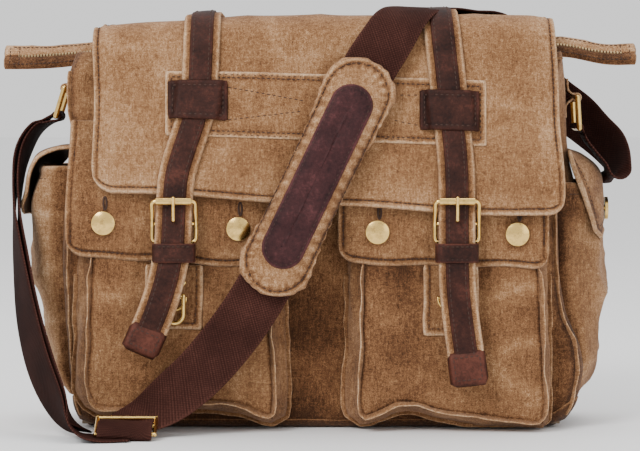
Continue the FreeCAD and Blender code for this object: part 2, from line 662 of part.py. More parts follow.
def ribbon(stations):
    """Webbing through (point, outward normal) stations, a closed shell of flat triangles."""
    points = [V(*p) for p, _ in stations]
    sections = []
    for i, (_, normal) in enumerate(stations):
        along = points[min(i + 1, len(points) - 1)] - points[max(i - 1, 0)]
        across = along.cross(V(*normal)).normalize()
        out = across.cross(along).normalize()
        w, n = across * WEB_HALF, out * (WEB_THICK / 2)
        c = points[i]
        sections.append([c + w + n, c - w + n, c - w - n, c + w - n])
    first, last = sections[0], sections[-1]
    triangles = [(first[0], first[1], first[2]), (first[0], first[2], first[3])]
    triangles += [(last[2], last[1], last[0]), (last[3], last[2], last[0])]
    for a, b in zip(sections, sections[1:]):
        for k in (0, 1, 3):
            m = (k + 1) % 4
            triangles += [(a[k], b[k], b[m]), (a[k], b[m], a[m])]
        # the underside is split along the same diagonal as the top, so a twist keeps its thickness
        triangles += [(a[2], b[2], a[3]), (b[2], b[3], a[3])]
    faces = [Part.Face(Part.makePolygon([p, q, r, p])) for p, q, r in triangles]
    solid = Part.makeSolid(Part.makeShell(faces))
    return solid if solid.Volume > 0 else solid.reversed()


def front_station(x, z):
    y, z_out = on_front(z, WEB_MIDDLE)
    return (x, y, z_out), (0, -1, 0.13)


PAD_CENTRE = (-4.0, 184.0)
PAD_DIRECTION = (0.43, 0.903)
PAD_HALF = (93.5, 26.5)
PAD_LEATHER_HALF = (72.0, 15.0)

WEB_LOWER = [
    front_station(-4, 184),
    front_station(-24, 142),
    ((-43, -94.6, 104), (0, -1, 0)),
    ((-63, -97.5, 74), (-0.05, -1, 0.1)),
    ((-85, -99.5, 48), (-0.1, -0.95, 0.3)),
    ((-106, -101, 30), (-0.15, -0.8, 0.55)),
    ((-121, -104, 20), (-0.1, -0.45, 0.9)),
]

WEB_UPPER = [
    front_station(-4, 184),
    front_station(15, 224),
    front_station(33, 260),
    ((48, -72.5, 285), (0, -0.88, 0.45)),
    ((58, -64, 300), (0, -0.6, 0.8)),
    ((69, -48.5, 307.6), (0, -0.2, 1)),
    ((84, -22, 308.6), (0, 0, 1)),
    ((101, 10, 307.5), (0, 0, 1)),
    ((116, 38, 306.5), (0, 0.15, 1)),
    ((129, 60, 300), (0.1, 0.6, 0.8)),
    ((138, 70, 286), (0.15, 0.95, 0.3)),
    ((150, 71, 268), (0.2, 1, 0.1)),
    ((165, 69, 254), (0.4, 0.9, 0.1)),
    ((182, 61, 240), (0.6, 0.8, 0.1)),
    ((200, 49, 226), (0.75, 0.6, 0)),
    ((214, 34, 212), (0.9, 0.35, 0)),
    ((223, 20, 201), (0.95, 0.1, -0.2)),
    ((225.5, 9, 191), (0.9, 0, -0.4)),
    ((222, 3, 184), (0.5, 0, -0.9)),
    ((216.5, 0, 185), (-0.6, 0, -0.8)),
    ((213, 0, 193), (-0.8, 0, -0.5)),
    ((206, 0, 201.5), (-0.8, 0, -0.6)),
    ((198.5, 0, 211), (-0.8, 0, -0.5)),
]

WEB_LOOP = [
    ((-140, -117, 1.5), (0, 0, -1)),
    ((-160, -122, 1.6), (-0.02, 0, -1)),
    ((-173, -122, 6), (-0.4, -0.1, -0.8)),
    ((-186, -114, 20), (-0.7, -0.45, -0.4)),
    ((-201, -98, 46), (-0.8, -0.5, -0.1)),
    ((-213, -77, 80), (-0.88, -0.45, 0)),
    ((-221.5, -54, 120), (-0.95, -0.3, 0)),
    ((-227, -33, 160), (-1, -0.1, 0)),
    ((-226, -15, 195), (-1, 0, 0)),
    ((-217, -3, 217), (-1, 0, 0.3)),
    ((-206.5, -0.2, 226), (-0.75, 0, 0.65)),
]
STRAND_GAP = 3.6


def wrap(centre, start_deg, end_deg, steps):
    """Stations round a ring's bar, along Y, from one angle to another in the XZ plane."""
    radius = RING_WIRE + 0.35 + WEB_THICK / 2
    found = []
    for k in range(steps + 1):
        a = math.radians(start_deg + (end_deg - start_deg) * k / steps)
        out = (math.cos(a), 0, math.sin(a))
        found.append(((centre[0] + radius * out[0], 0, centre[1] + radius * out[2]), out))
    return found


def inner_strand():
    """The way back down to the adjuster, one gap inside the outer strand."""
    found = []
    for (x, y, z), n in reversed(WEB_LOOP[2:]):
        size = math.sqrt(sum(v * v for v in n))
        inward = [-STRAND_GAP * v / size for v in n]
        found.append(((x + inward[0], y + inward[1], z + inward[2]), tuple(-v for v in n)))
    return found


def webbing_loop():
    """Two strands of one webbing: from the adjuster up the outside, round the left ring and down inside."""
    return ribbon(WEB_LOOP + wrap(RINGS["left"][1], 150, -70, 8) + inner_strand())


def webbing_upper():
    """From under the pad over the top of the bag, down behind it and round the right ring."""
    return ribbon(WEB_UPPER + wrap(RINGS["right"][1], -20, 170, 6))


def strap_adjuster():
    """Three-bar slide lying tilted in front of the bag, its bars along X."""
    centre = V(-139, -114, 9.2)
    half, reach, r = 21.0, 13.0, 1.5
    tilt = V(0, math.cos(math.radians(20)), math.sin(math.radians(20)))
    bars = [centre + tilt * k for k in (-reach, 0, reach)]
    parts = []
    for b, thick in zip(bars, (r, r - 0.2, r)):
        parts.append(rod(b - V(half, 0, 0), b + V(half, 0, 0), thick))
    for s in (-half, half):
        parts.append(rod(bars[0] + V(s, 0, 0), bars[2] + V(s, 0, 0), r - 0.1))
        parts += [Part.makeSphere(r + 0.15, b + V(s, 0, 0)) for b in (bars[0], bars[2])]
    return fuse(parts)


def shoulder_pad_pieces():
    outer = stadium(PAD_CENTRE, *PAD_HALF, PAD_DIRECTION)
    inner = stadium(PAD_CENTRE, PAD_HALF[0] - 2.0, PAD_HALF[1] - 2.0, PAD_DIRECTION)
    leather = stadium(PAD_CENTRE, *PAD_LEATHER_HALF, PAD_DIRECTION)
    foam_room = front_layer((PAD_FOAM[0] - 0.1, PAD_FOAM[1] + 0.1), inner)
    foam = stadium(PAD_CENTRE, PAD_HALF[0] - 2.2, PAD_HALF[1] - 2.2, PAD_DIRECTION)
    return {
        "shoulder_pad_cover": front_layer(PAD, outer).cut(foam_room),
        "shoulder_pad_foam": front_layer(PAD_FOAM, foam),
        "shoulder_pad_leather": front_layer(PAD_LEATHER, leather),
    }


def build():
    nodes = dict(body_panels())
    nodes["zip_facings"] = Part.makeCompound([zip_facing(-1), zip_facing(1)])
    nodes["zip_teeth"] = Part.makeCompound([zip_row(-1), zip_row(1)])
    nodes["zip_end_tabs"] = Part.makeCompound([zip_end_tab(-1), zip_end_tab(1)])
    nodes["zip_slider"] = zip_slider()
    nodes["zip_pull"] = zip_pull()
    for side in ("left", "right"):
        nodes[f"{side}_pocket_front"] = pocket_front(side)
        nodes[f"{side}_pocket_gusset"] = pocket_gusset(side)
        nodes[f"{side}_pocket_flap"] = pocket_flap(side)
        nodes[f"{side}_pocket_snaps"] = Part.makeCompound([snap_cap(x, z) for x, z in SNAPS[side]])
        nodes[f"{side}_clip_ring"] = clip_ring(side)
        nodes[f"{side}_buckle_roller"] = buckle_roller(side)
        nodes[f"{side}_buckle_prong"] = buckle_prong(side)
        nodes[f"{side}_snap_hook"] = snap_hook(side)
        nodes[f"{side}_hook_gate"] = hook_gate(side)
        nodes[f"{side}_side_ring"] = side_ring(side)
    for side, sign in (("left", -1), ("right", 1)):
        nodes[f"{side}_side_pocket"] = side_pocket(sign)
        nodes[f"{side}_side_flap"] = side_flap(sign)
        nodes[f"{side}_side_snap"] = side_snap_cap(sign)
    studs = [snap_stud(x, z) for side in SNAPS for x, z in SNAPS[side]]
    nodes["snap_studs"] = Part.makeCompound(studs + [side_snap_stud(-1), side_snap_stud(1)])
    nodes["clip_patches"] = both(clip_patch)
    nodes["clip_ring_tabs"] = both(clip_ring_tab)
    nodes["ring_tabs"] = both(ring_tab)
    nodes["flap_back"] = flap_back()
    nodes["main_flap"] = front_layer(FLAP, flap_outline())
    nodes["flap_lining"] = front_layer(FLAP_LINING, flap_outline(2.0))
    nodes["cross_band"] = cross_band()
    nodes["flap_straps"] = both(flap_strap)
    nodes["strap_leathers"] = both(strap_leather)
    nodes["strap_tips"] = both(strap_tip)
    nodes["strap_loops"] = both(strap_loop)
    nodes["keepers"] = both(keeper)
    nodes["buckle_frames"] = both(buckle_frame)
    nodes["buckle_tabs"] = both(buckle_tab)
    nodes["webbing_lower"] = ribbon(WEB_LOWER)
    nodes["webbing_upper"] = webbing_upper()
    nodes["webbing_loop"] = webbing_loop()
    nodes["strap_adjuster"] = strap_adjuster()
    nodes.update(shoulder_pad_pieces())
    return nodes


def main():
    os.makedirs("parts", exist_ok=True)
    nodes = build()
    for name, shape in nodes.items():
        shape.exportStep(f"parts/{name}.step")
        sound = all(s.isValid() for s in shape.Solids)
        b = shape.BoundBox
        low, high = (round(v, 1) for v in (b.ZMin, b.ZMax))
        print(name, len(shape.Solids), "solids", round(shape.Volume / 1000, 2), "cm3", low, high, sound)
    print(len(nodes), "nodes")
    return nodes


if __name__ == "__main__":
    main()
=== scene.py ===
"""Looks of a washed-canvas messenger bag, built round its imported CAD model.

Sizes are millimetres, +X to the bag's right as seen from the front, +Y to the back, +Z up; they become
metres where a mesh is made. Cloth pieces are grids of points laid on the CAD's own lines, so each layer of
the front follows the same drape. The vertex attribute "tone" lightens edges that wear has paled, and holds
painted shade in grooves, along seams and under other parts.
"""
import json
import math

import bmesh
import bpy
import numpy as np
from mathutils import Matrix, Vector
from mathutils.bvhtree import BVHTree

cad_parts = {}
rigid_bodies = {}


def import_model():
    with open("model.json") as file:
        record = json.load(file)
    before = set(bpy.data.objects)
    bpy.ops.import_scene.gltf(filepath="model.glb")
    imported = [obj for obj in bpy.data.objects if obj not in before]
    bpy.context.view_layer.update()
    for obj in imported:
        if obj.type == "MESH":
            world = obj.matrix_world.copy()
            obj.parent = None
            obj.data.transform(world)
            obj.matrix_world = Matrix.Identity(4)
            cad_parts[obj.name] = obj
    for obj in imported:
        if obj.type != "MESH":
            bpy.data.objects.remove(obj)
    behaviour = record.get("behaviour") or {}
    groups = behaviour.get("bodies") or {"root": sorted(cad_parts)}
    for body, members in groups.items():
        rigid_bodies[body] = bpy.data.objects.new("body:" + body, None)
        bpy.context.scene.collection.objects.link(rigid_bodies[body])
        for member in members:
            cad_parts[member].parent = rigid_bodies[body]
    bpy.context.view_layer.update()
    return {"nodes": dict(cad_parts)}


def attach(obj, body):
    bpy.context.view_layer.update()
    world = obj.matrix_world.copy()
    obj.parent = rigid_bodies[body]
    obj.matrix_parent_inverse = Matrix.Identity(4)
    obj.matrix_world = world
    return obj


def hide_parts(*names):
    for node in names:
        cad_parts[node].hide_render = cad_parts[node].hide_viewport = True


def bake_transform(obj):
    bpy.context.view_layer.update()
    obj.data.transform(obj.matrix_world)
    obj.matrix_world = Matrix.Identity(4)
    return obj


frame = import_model()

MM = 0.001
NODES = frame["nodes"]

# Lines and distances that follow the CAD source, in millimetres; a few are moved a little for looks
FLAP_LINE = [(57, 252), (57, 296), (-62, 296), (-85, 120), (-85, 30)]
FLAP_RADII = [16, 20, 80]
FLAP_INNER, FLAP_OUTER = -1.0, 3.0
BAND_OUTER = 4.1
STRAP_INNER, STRAP_OUTER = 4.2, 7.0
LEATHER_OUTER = 8.6
LOOP_INNER, LOOP_OUTER = 8.9, 10.4
PAD_INNER, PAD_OUTER = 11.6, 20.6
SEAM_S = 28.0
STRAP_HALF, LEATHER_HALF = 13.0, 7.6
STRAPS = {
    "left": [
        (-85, 330), (-88, 245), (-105, 178), (-107, 135),
        (-109.5, 120), (-115.5, 98), (-123, 78), (-130.5, 61),
    ],
    "right": [(82, 330), (93, 240), (98, 178), (98, 122), (107, 38)],
}
LOOP_PATCHES = {"left": (-89, 240), "right": (93, 232)}
BUCKLE_X = {"left": -106, "right": 98}
TIP_LENGTH = {"left": 15.5, "right": 21.0}
BUCKLE_HALF, BUCKLE_WIRE = 15.7, 1.6
ROLLER_BAR, PRONG_BAR, END_BAR = (167.0, 11.8), (152.0, 1.2), (139.0, 1.2)
KEEPER_Z, KEEPER_OUT, KEEPER_IN = 130.2, 9.7, -2.7
HOOK_EYE_Y, HOOK_EYE_Z = -81.85, 109.5
CLIP_RING_Y, CLIP_RING_Z = -75.3, 98.0
POCKET_LINE = [(-66.4, 166), (-66.4, 128), (-73, 60), (-73, 12)]
POCKET_RADII = [60, 60]
POCKET_TOP, POCKET_BOTTOM, POCKET_THICK = 166.0, 12.0, 2.4
POCKET_FLAP_LINE = [(-54.7, 226), (-70.6, 190), (-70.6, 100)]
POCKET_FLAP_RADII = [20]
POCKET_FLAP_THICK = 2.6
SNAPS = {"left": [(-158, 152), (-60, 148)], "right": [(41, 145.5), (142.5, 144)]}
RINGS = {"left": ((-190.5, 250), (-197, 229)), "right": ((190.5, 243), (192, 220))}
RING_WIRE = 1.9
WEB_HALF, WEB_THICK = 19.0, 1.8
PAD_CENTRE, PAD_DIRECTION = (-2.5, 184), (0.43, 0.903)
PAD_HALF, PAD_LEATHER_HALF = (93.5, 27.3), (72, 15.5)

WEB_LOWER = [
    ((-4, -87.4, 184), (0, -1, 0.13)),
    ((-24, -92.5, 142), (0, -1, 0.13)),
    ((-43, -94.6, 104), (0, -1, 0)),
    ((-63, -97.5, 74), (-0.05, -1, 0.1)),
    ((-85, -98.5, 48), (-0.1, -0.95, 0.3)),
    ((-104, -97, 31), (0.0, -0.85, 0.5)),
    ((-120, -96, 19.5), (0.15, -0.6, 0.75)),
    ((-132, -98, 13), (0.15, -0.3, 0.95)),
    ((-137.5, -104, 10.9), (0.1, 0, 1)),
    ((-139.5, -113.5, 11.9), (0, -0.1, 1)),
    ((-139.5, -121, 10.2), (0, -0.35, 0.9)),
    ((-139.5, -126.8, 7.4), (0, -0.6, 0.8)),
    ((-139.5, -130.3, 3.9), (0, -1, 0)),
    ((-139.8, -127, 1.35), (0, -0.2, -1)),
    ((-140.5, -118, 1.3), (0, 0, -1)),
]
WEB_UPPER = [
    ((-4, -87.4, 184), (0, -1, 0.13)),
    ((15, -81.9, 225), (0, -1, 0.13)),
    ((33, -77.2, 261), (0, -1, 0.13)),
    ((48, -72.5, 285), (0, -0.88, 0.45)),
    ((58, -64, 300), (0, -0.6, 0.8)),
    ((69, -48.5, 307.6), (0, -0.2, 1)),
    ((84, -22, 308.6), (0, 0, 1)),
    ((101, 10, 307.5), (0, 0, 1)),
    ((116, 38, 306.5), (0, 0.15, 1)),
    ((129, 60, 300), (0.1, 0.6, 0.8)),
    ((138, 70, 286), (0.15, 0.95, 0.3)),
    ((150, 71, 268), (0.2, 1, 0.1)),
]
WEB_SIDE = [
    ((150, 71, 268), (0.2, 1, 0.1)),
    ((165, 69, 254), (0.4, 0.9, 0.1)),
    ((182, 61, 240), (0.6, 0.8, 0.1)),
    ((200, 49, 226), (0.75, 0.6, 0)),
    ((214, 34, 212), (0.9, 0.35, 0)),
    ((223, 20, 201), (0.95, 0.1, -0.2)),
    ((225.5, 9, 191), (0.9, 0, -0.4)),
    ((222, 3, 184), (0.5, 0, -0.9)),
    ((216.5, 0, 185), (-0.6, 0, -0.8)),
    ((213, 0, 193), (-0.8, 0, -0.5)),
    ((206, 0, 201.5), (-0.8, 0, -0.6)),
    ((198.5, 0, 211), (-0.8, 0, -0.5)),
]
WEB_LOOP = [
    ((-140, -117, 1.5), (0, 0, -1)),
    ((-160, -122, 1.6), (-0.02, 0, -1)),
    ((-173, -122, 6), (-0.4, -0.1, -0.8)),
    ((-186, -114, 20), (-0.7, -0.45, -0.4)),
    ((-201, -98, 46), (-0.8, -0.5, -0.1)),
    ((-213, -77, 80), (-0.88, -0.45, 0)),
    ((-221.5, -54, 120), (-0.95, -0.3, 0)),
    ((-227, -33, 160), (-1, -0.1, 0)),
    ((-226, -15, 195), (-1, 0, 0)),
    ((-217, -3, 217), (-1, 0, 0.3)),
    ((-206.5, -0.2, 226), (-0.75, 0, 0.65)),
]
STRAND_GAP = 3.6

SIGNS = {"left": -1, "right": 1}

# Numbers ------------------------------------------------------------------------------------------


def smooth(a, b, x):
    t = np.clip((np.asarray(x, float) - a) / (b - a), 0, 1)
    return t * t * (3 - 2 * t)


def curve(x, xs, ys):
    """Smooth interpolation through knots, with slopes that don't overshoot."""
    xs, ys = np.asarray(xs, float), np.asarray(ys, float)
    step = np.diff(ys) / np.diff(xs)
    mean = 2 * step[1:] * step[:-1] / (step[1:] + step[:-1] + 1e-12)
    slope = np.zeros(len(xs))
    slope[1:-1] = np.where(step[1:] * step[:-1] > 0, mean, 0)
    slope[0], slope[-1] = step[0], step[-1]
    x = np.clip(x, xs[0], xs[-1])
    i = np.clip(np.searchsorted(xs, x) - 1, 0, len(xs) - 2)
    h = xs[i + 1] - xs[i]
    t = (x - xs[i]) / h
    a, b = ys[i], ys[i + 1]
    m, n = slope[i] * h, slope[i + 1] * h
    start = a * (1 + 2 * t) * (1 - t) ** 2 + m * t * (1 - t) ** 2
    return start + b * t * t * (3 - 2 * t) + n * t * t * (t - 1)


def graded(length, coarse, border=8.0, fine=0.8):
    """Shares from 0 to 1 of a length, closely spaced within a border of each end."""
    rim = np.arange(0, border, fine)
    middle = np.linspace(border, length - border, max(2, int((length - 2 * border) / coarse)))
    return np.concatenate([rim, middle, length - rim[::-1]]) / length


def noise(p, size, seed=0):
    """Smooth noise from -1 to 1 at points (..., 3), with features of the given size."""
    q = np.asarray(p, float) / size + 1000.5
    base = np.floor(q).astype(np.int64)
    f = q - base
    f = f * f * (3 - 2 * f)
    total = 0
    for dx in (0, 1):
        for dy in (0, 1):
            for dz in (0, 1):
                key = (base[..., 0] + dx) * 73856093 ^ (base[..., 1] + dy) * 19349663
                key = (key ^ (base[..., 2] + dz) * 83492791 ^ (seed + 1) * 2654435761) & 0xFFFFFFFF
                key = ((key ^ (key >> 15)) * 2246822519) & 0xFFFFFFFF
                key = ((key ^ (key >> 13)) * 3266489917) & 0xFFFFFFFF
                value = ((key ^ (key >> 16)) & 0xFFFF) / 32767.5 - 1
                weight = (f[..., 0] if dx else 1 - f[..., 0]) * (f[..., 1] if dy else 1 - f[..., 1])
                total = total + value * weight * (f[..., 2] if dz else 1 - f[..., 2])
    return total


def folds(p, size, seed=0):
    """Soft creases: thin raised ridges between broad hollows, from 0 to 1."""
    return (1 - np.abs(noise(p, size, seed))) ** 3


def bell(x, centre, width):
    """Bump of height 1 at a centre, almost gone two widths from it."""
    return np.exp(-(((x - centre) / width) ** 2))


def unit(v):
    v = np.asarray(v, float)
    return v / np.maximum(np.linalg.norm(v, axis=-1, keepdims=True), 1e-9)


def stack(x, y, z):
    return np.stack(np.broadcast_arrays(x, y, z), axis=-1).astype(float)


def spline(points, per=8):
    """Catmull-Rom points through rows of numbers, `per` to each gap."""
    p = np.asarray(points, float)
    p = np.vstack([2 * p[0] - p[1], p, 2 * p[-1] - p[-2]])
    t = (np.arange(per) / per)[:, None]
    out = []
    for a, b, c, d in zip(p, p[1:], p[2:], p[3:]):
        second, third = 2 * a - 5 * b + 4 * c - d, 3 * b - a - 3 * c + d
        out.append(0.5 * (2 * b + (c - a) * t + second * t**2 + third * t**3))
    return np.vstack([*out, p[-2:-1]])


def walk(points, pitch):
    """Points evenly spaced along a line of points, and the fractional place of each."""
    p = np.asarray(points, float)
    s = np.concatenate([[0], np.cumsum(np.linalg.norm(np.diff(p, axis=0), axis=1))])
    n = max(2, int(s[-1] / pitch) + 1)
    at = np.linspace(0, s[-1], n)
    place = np.interp(at, s, np.arange(len(p)))
    return np.stack([np.interp(at, s, p[:, k]) for k in range(3)], 1), place


def sampled(rows, where):
    """Rows of three numbers, read at fractional places along them."""
    rows = np.asarray(rows, float)
    return np.stack([np.interp(where, np.arange(len(rows)), rows[:, k]) for k in range(3)], 1)


def direction(path, closed):
    """Unit direction of a path at each of its points."""
    if closed:
        return unit(np.roll(path, -1, axis=0) - np.roll(path, 1, axis=0))
    return unit(np.gradient(path, axis=0))


class Line:
    """Rounded polyline in the YZ plane by arc length, from its first point."""

    def __init__(self, points, radii):
        p = [np.array(q, float) for q in points]
        out = [p[0]]
        for a, c, b, radius in zip(p, p[1:], p[2:], radii):
            u, v = unit(c - a), unit(b - c)
            turn = math.acos(np.clip(u @ v, -1, 1))
            reach = radius * math.tan(turn / 2)
            start = c - u * reach
            inward = unit(v - u)
            centre = c + inward * radius / math.cos(turn / 2)
            first, last = start - centre, c + v * reach - centre
            for k in range(17):
                t = k / 16
                w = first * math.sin((1 - t) * turn) + last * math.sin(t * turn)
                out.append(centre + w / math.sin(turn))
        out.append(p[-1])
        self.p = np.array(out)
        self.s = np.concatenate([[0], np.cumsum(np.linalg.norm(np.diff(self.p, axis=0), axis=1))])
        run = unit(np.gradient(self.p, self.s, axis=0))
        self.n = np.stack([run[:, 1], -run[:, 0]], 1)
        top = int(np.argmax(self.p[:, 1] + 1e-6 * np.arange(len(self.p))))
        self.falling_s, self.falling_z = self.s[top:], self.p[top:, 1]

    def at(self, s, d):
        """(y, z) at arc length s, moved d out."""
        y, z = np.interp(s, self.s, self.p[:, 0]), np.interp(s, self.s, self.p[:, 1])
        ny, nz = np.interp(s, self.s, self.n[:, 0]), np.interp(s, self.s, self.n[:, 1])
        return y + ny * d, z + nz * d

    def s_of(self, z):
        """Arc length at height z of the falling front part."""
        return np.interp(-np.asarray(z, float), -self.falling_z, self.falling_s)


FLAP = Line(FLAP_LINE, FLAP_RADII)
POCKET = Line(POCKET_LINE, POCKET_RADII)
POCKET_FLAP = Line(POCKET_FLAP_LINE, POCKET_FLAP_RADII)

# Meshes -------------------------------------------------------------------------------------------


def make(name, verts, faces, materials, tone=None, uv=None, face_material=None, flat=False):
    mesh = bpy.data.meshes.new(name)
    verts = np.asarray(verts, float).reshape(-1, 3) * MM
    mesh.from_pydata(verts.tolist(), [], [list(map(int, f)) for f in faces])
    if tone is not None:
        layer = mesh.attributes.new("tone", "FLOAT", "POINT")
        layer.data.foreach_set("value", np.asarray(tone, np.float32).ravel())
    if uv is not None:
        loops = np.zeros(len(mesh.loops), np.int32)
        mesh.loops.foreach_get("vertex_index", loops)
        uv_layer = mesh.uv_layers.new(name="metres")
        uv_layer.data.foreach_set("uv", (np.asarray(uv, float)[loops] * MM).astype(np.float32).ravel())
    materials = materials if isinstance(materials, (list, tuple)) else [materials]
    for m in materials:
        mesh.materials.append(m)
    if face_material is not None:
        mesh.polygons.foreach_set("material_index", np.asarray(face_material, np.int32))
    if not flat:
        mesh.polygons.foreach_set("use_smooth", np.ones(len(mesh.polygons), bool))
    mesh.update()
    obj = bpy.data.objects.new(name, mesh)
    bpy.context.scene.collection.objects.link(obj)
    return obj


def quads(index):
    return np.stack([index[:-1, :-1], index[:-1, 1:], index[1:, 1:], index[1:, :-1]], -1).reshape(-1, 4)


def grid_normals(p, facing=None):
    n = unit(np.cross(np.gradient(p, axis=0), np.gradient(p, axis=1)))
    if facing is not None and (n * np.asarray(facing)).sum() < 0:
        n = -n
    return n


def skin(name, outer, inner, materials, tone=None, rim_tone=0.0):
    """Closed sheet between two grids of points (rows, columns, 3), with a rounded rim."""
    rows, cols = outer.shape[:2]
    count = rows * cols
    index = np.arange(count).reshape(rows, cols)
    front, back = quads(index), quads(index)[:, ::-1] + count
    loop = np.concatenate([index[0, :-1], index[:-1, -1], index[-1, :0:-1], index[:0:-1, 0]])
    inward = np.concatenate([index[1, :-1], index[:-1, -2], index[-2, :0:-1], index[:0:-1, 1]])
    o, i = outer.reshape(-1, 3), inner.reshape(-1, 3)
    middle = (o + i) / 2
    away = unit(middle[loop] - middle[inward])
    thick = np.linalg.norm(o[loop] - i[loop], axis=1, keepdims=True)
    rim = middle[loop] + away * thick * 0.42
    n = len(loop)
    ring = np.arange(n) + 2 * count
    nxt = np.roll(np.arange(n), -1)
    side_a = np.stack([loop, ring, ring[nxt], loop[nxt]], -1)
    side_b = np.stack([ring, loop + count, loop[nxt] + count, ring[nxt]], -1)
    faces = np.vstack([front, back, side_a, side_b])
    verts = np.vstack([o, i, rim])
    a, b, c = o[front[:, 0]], o[front[:, 1]], o[front[:, 2]]
    if ((np.cross(b - a, c - b)) * (o - i)[front[:, 0]]).sum() < 0:
        faces = faces[:, ::-1]
    tone = np.zeros(count) if tone is None else np.asarray(tone, float).ravel()
    tones = np.concatenate([tone, tone * 0.3, np.full(n, float(rim_tone))])
    du = np.cumsum(np.linalg.norm(np.diff(outer, axis=1, prepend=outer[:, :1]), axis=2), axis=1)
    dv = np.cumsum(np.linalg.norm(np.diff(outer, axis=0, prepend=outer[:1]), axis=2), axis=0)
    uv = np.stack([du, dv], -1).reshape(-1, 2)
    uvs = np.vstack([uv, uv, uv[loop]])
    which = np.zeros(len(faces), int)
    if isinstance(materials, (list, tuple)) and len(materials) > 1:
        which[len(front) : 2 * len(front)] = 1
    return make(name, verts, faces, materials, tones, uvs, which)


def loft(name, rings, materials, tone=None, cap_start=False, cap_end=False):
    """Tube through closed rings of points (rings, points, 3)."""
    rings = np.asarray(rings, float)
    rows, cols = rings.shape[:2]
    index = np.arange(rows * cols).reshape(rows, cols)
    faces = quads(np.hstack([index, index[:, :1]])).tolist()
    verts, tones = rings.reshape(-1, 3), np.zeros(rows * cols) if tone is None else np.asarray(tone).ravel()
    for wanted, row, flip in ((cap_start, 0, True), (cap_end, rows - 1, False)):
        if wanted:
            centre = len(verts)
            verts = np.vstack([verts, rings[row].mean(0)])
            tones = np.append(tones, tones[row * cols])
            for k in range(cols):
                a, b = index[row, k], index[row, (k + 1) % cols]
                faces.append([b, a, centre] if flip else [a, b, centre])
    around = np.cumsum(np.linalg.norm(rings - np.roll(rings, 1, axis=1), axis=2), axis=1)
    along = np.cumsum(np.linalg.norm(np.diff(rings, axis=0, prepend=rings[:1]), axis=2), axis=0)
    uv = np.stack([around, along], -1).reshape(-1, 2)
    uv = np.vstack([uv, np.zeros((len(verts) - len(uv), 2))])
    obj = make(name, verts, faces, materials, tones, uv)
    fix_normals(obj)
    return obj


def fix_normals(obj):
    bm = bmesh.new()
    bm.from_mesh(obj.data)
    bmesh.ops.recalc_face_normals(bm, faces=bm.faces)
    bm.to_mesh(obj.data)
    bm.free()


def stitches(name, runs, length, pitch, radius):
    """Thread stitches along runs of (points, normals), each a slim spindle half sunk in the cloth."""
    centres, dirs, ups = [], [], []
    for points, normals in runs:
        p, where = walk(points, pitch)
        n = sampled(unit(normals), where)
        d = unit(np.gradient(p, axis=0))
        centres.append(p[:-1] / 2 + p[1:] / 2)
        dirs.append(d[:-1])
        ups.append(n[:-1])
    c, d, u = np.vstack(centres), np.vstack(dirs), unit(np.vstack(ups))
    side = unit(np.cross(d, u))
    sides = 6
    profile = [(-0.5, 0.25), (-0.34, 0.85), (0, 1.0), (0.34, 0.85), (0.5, 0.25)]
    rings = []
    for t, r in profile:
        for k in range(sides):
            a = 2 * math.pi * k / sides
            lift = u * (radius * r * math.sin(a) - 0.5 * radius * abs(t) * 2)
            rings.append(c + d * length * t + side * radius * r * math.cos(a) + lift)
    verts = np.stack(rings, 1)
    n, per = len(c), len(profile) * sides
    index = np.arange(per).reshape(len(profile), sides)
    body = quads(np.hstack([index, index[:, :1]]))
    faces = (body[None] + (np.arange(n) * per)[:, None, None]).reshape(-1, 4)
    ends = [list(index[0][::-1]), list(index[-1])]
    caps = [[v + k * per for v in e] for k in range(n) for e in ends]
    return make(name, verts.reshape(-1, 3), faces.tolist() + caps, THREAD)


def raised(points, normals, by):
    """A run for stitches, a little out of the surface."""
    return points + normals * by, normals


def facing_front(points):
    """A run for stitches whose surface faces the front."""
    return points, np.tile([0, -1.0, 0], (len(points), 1))


def fin(name, points, out, height, thick, wave, seed, keep=None, wear_and_shade=1.0):
    """Raised raw seam: a thin wavy wall standing on a line of points, leaning along `out`."""
    p, where = walk(points, 2.0)
    o = unit(sampled(out, where))
    run = unit(np.gradient(p, axis=0))
    side = unit(np.cross(run, o))
    h = height * (1 + 0.28 * noise(p, 12, seed) + 0.14 * noise(p, 4, seed + 1))
    share = np.ones(len(p)) if keep is None else np.maximum(keep(p), 0.02)
    h = h * share
    lean = wave * noise(p, 13, seed + 2) * share
    grids = []
    for sign in (1, -1):
        cols = []
        for t, w in ((-0.35, 1.0), (0.0, 1.0), (0.35, 0.95), (0.7, 0.9), (0.93, 0.7)):
            off = side * (sign * thick / 2 * w + lean * t * t)[:, None]
            cols.append(p + o * (h * t)[:, None] + off)
        grids.append(np.stack(cols, 1))
    # the fin's foot is darkened with painted shade where it meets the cloth, and its crest is paled by wear;
    # one factor scales both
    crest = wear_and_shade * np.array([-0.7, -0.7, -0.4, 0.15, 1.0])[None] + 0.25 * noise(grids[0], 5, seed + 3)
    return skin(name, grids[0], grids[1], CANVAS, crest, 1.0)


def place(obj, body, slot, replaces=(), blend=None):
    """Gives a finished piece its body, or with a blend bakes its transform where it stands, and hides the CAD
    nodes that it stands for; slot is not used.
    """
    if blend:
        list(blend)
        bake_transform(obj)
    else:
        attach(obj, body)
    if replaces:
        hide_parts(*replaces)
    return obj


def shared(side, node):
    """What a left or right piece replaces, where one CAD node holds both: the left one stands for it."""
    return [node] if side == "left" else []


def sew(name, runs, body, slot="canvas", size=(2.6, 3.2, 0.4), blend=None):
    """Places a piece of stitches, whose size is each one's length, pitch and radius."""
    return place(stitches(name, runs, *size), body, slot, (), blend)


# Cloth that crosses the flap's hinge: the flap's body, the bag's body, and a point on each side of the hinge
FLAP_BEND = ("main_flap", "bag", (0, 0.052, 0.291), (0, 0.0629, 0.2859))
WEB_BEND = ("main_flap", "bag", (0, 0.0555, 0.289), (0, 0.0682, 0.2831))

# Materials ----------------------------------------------------------------------------------------


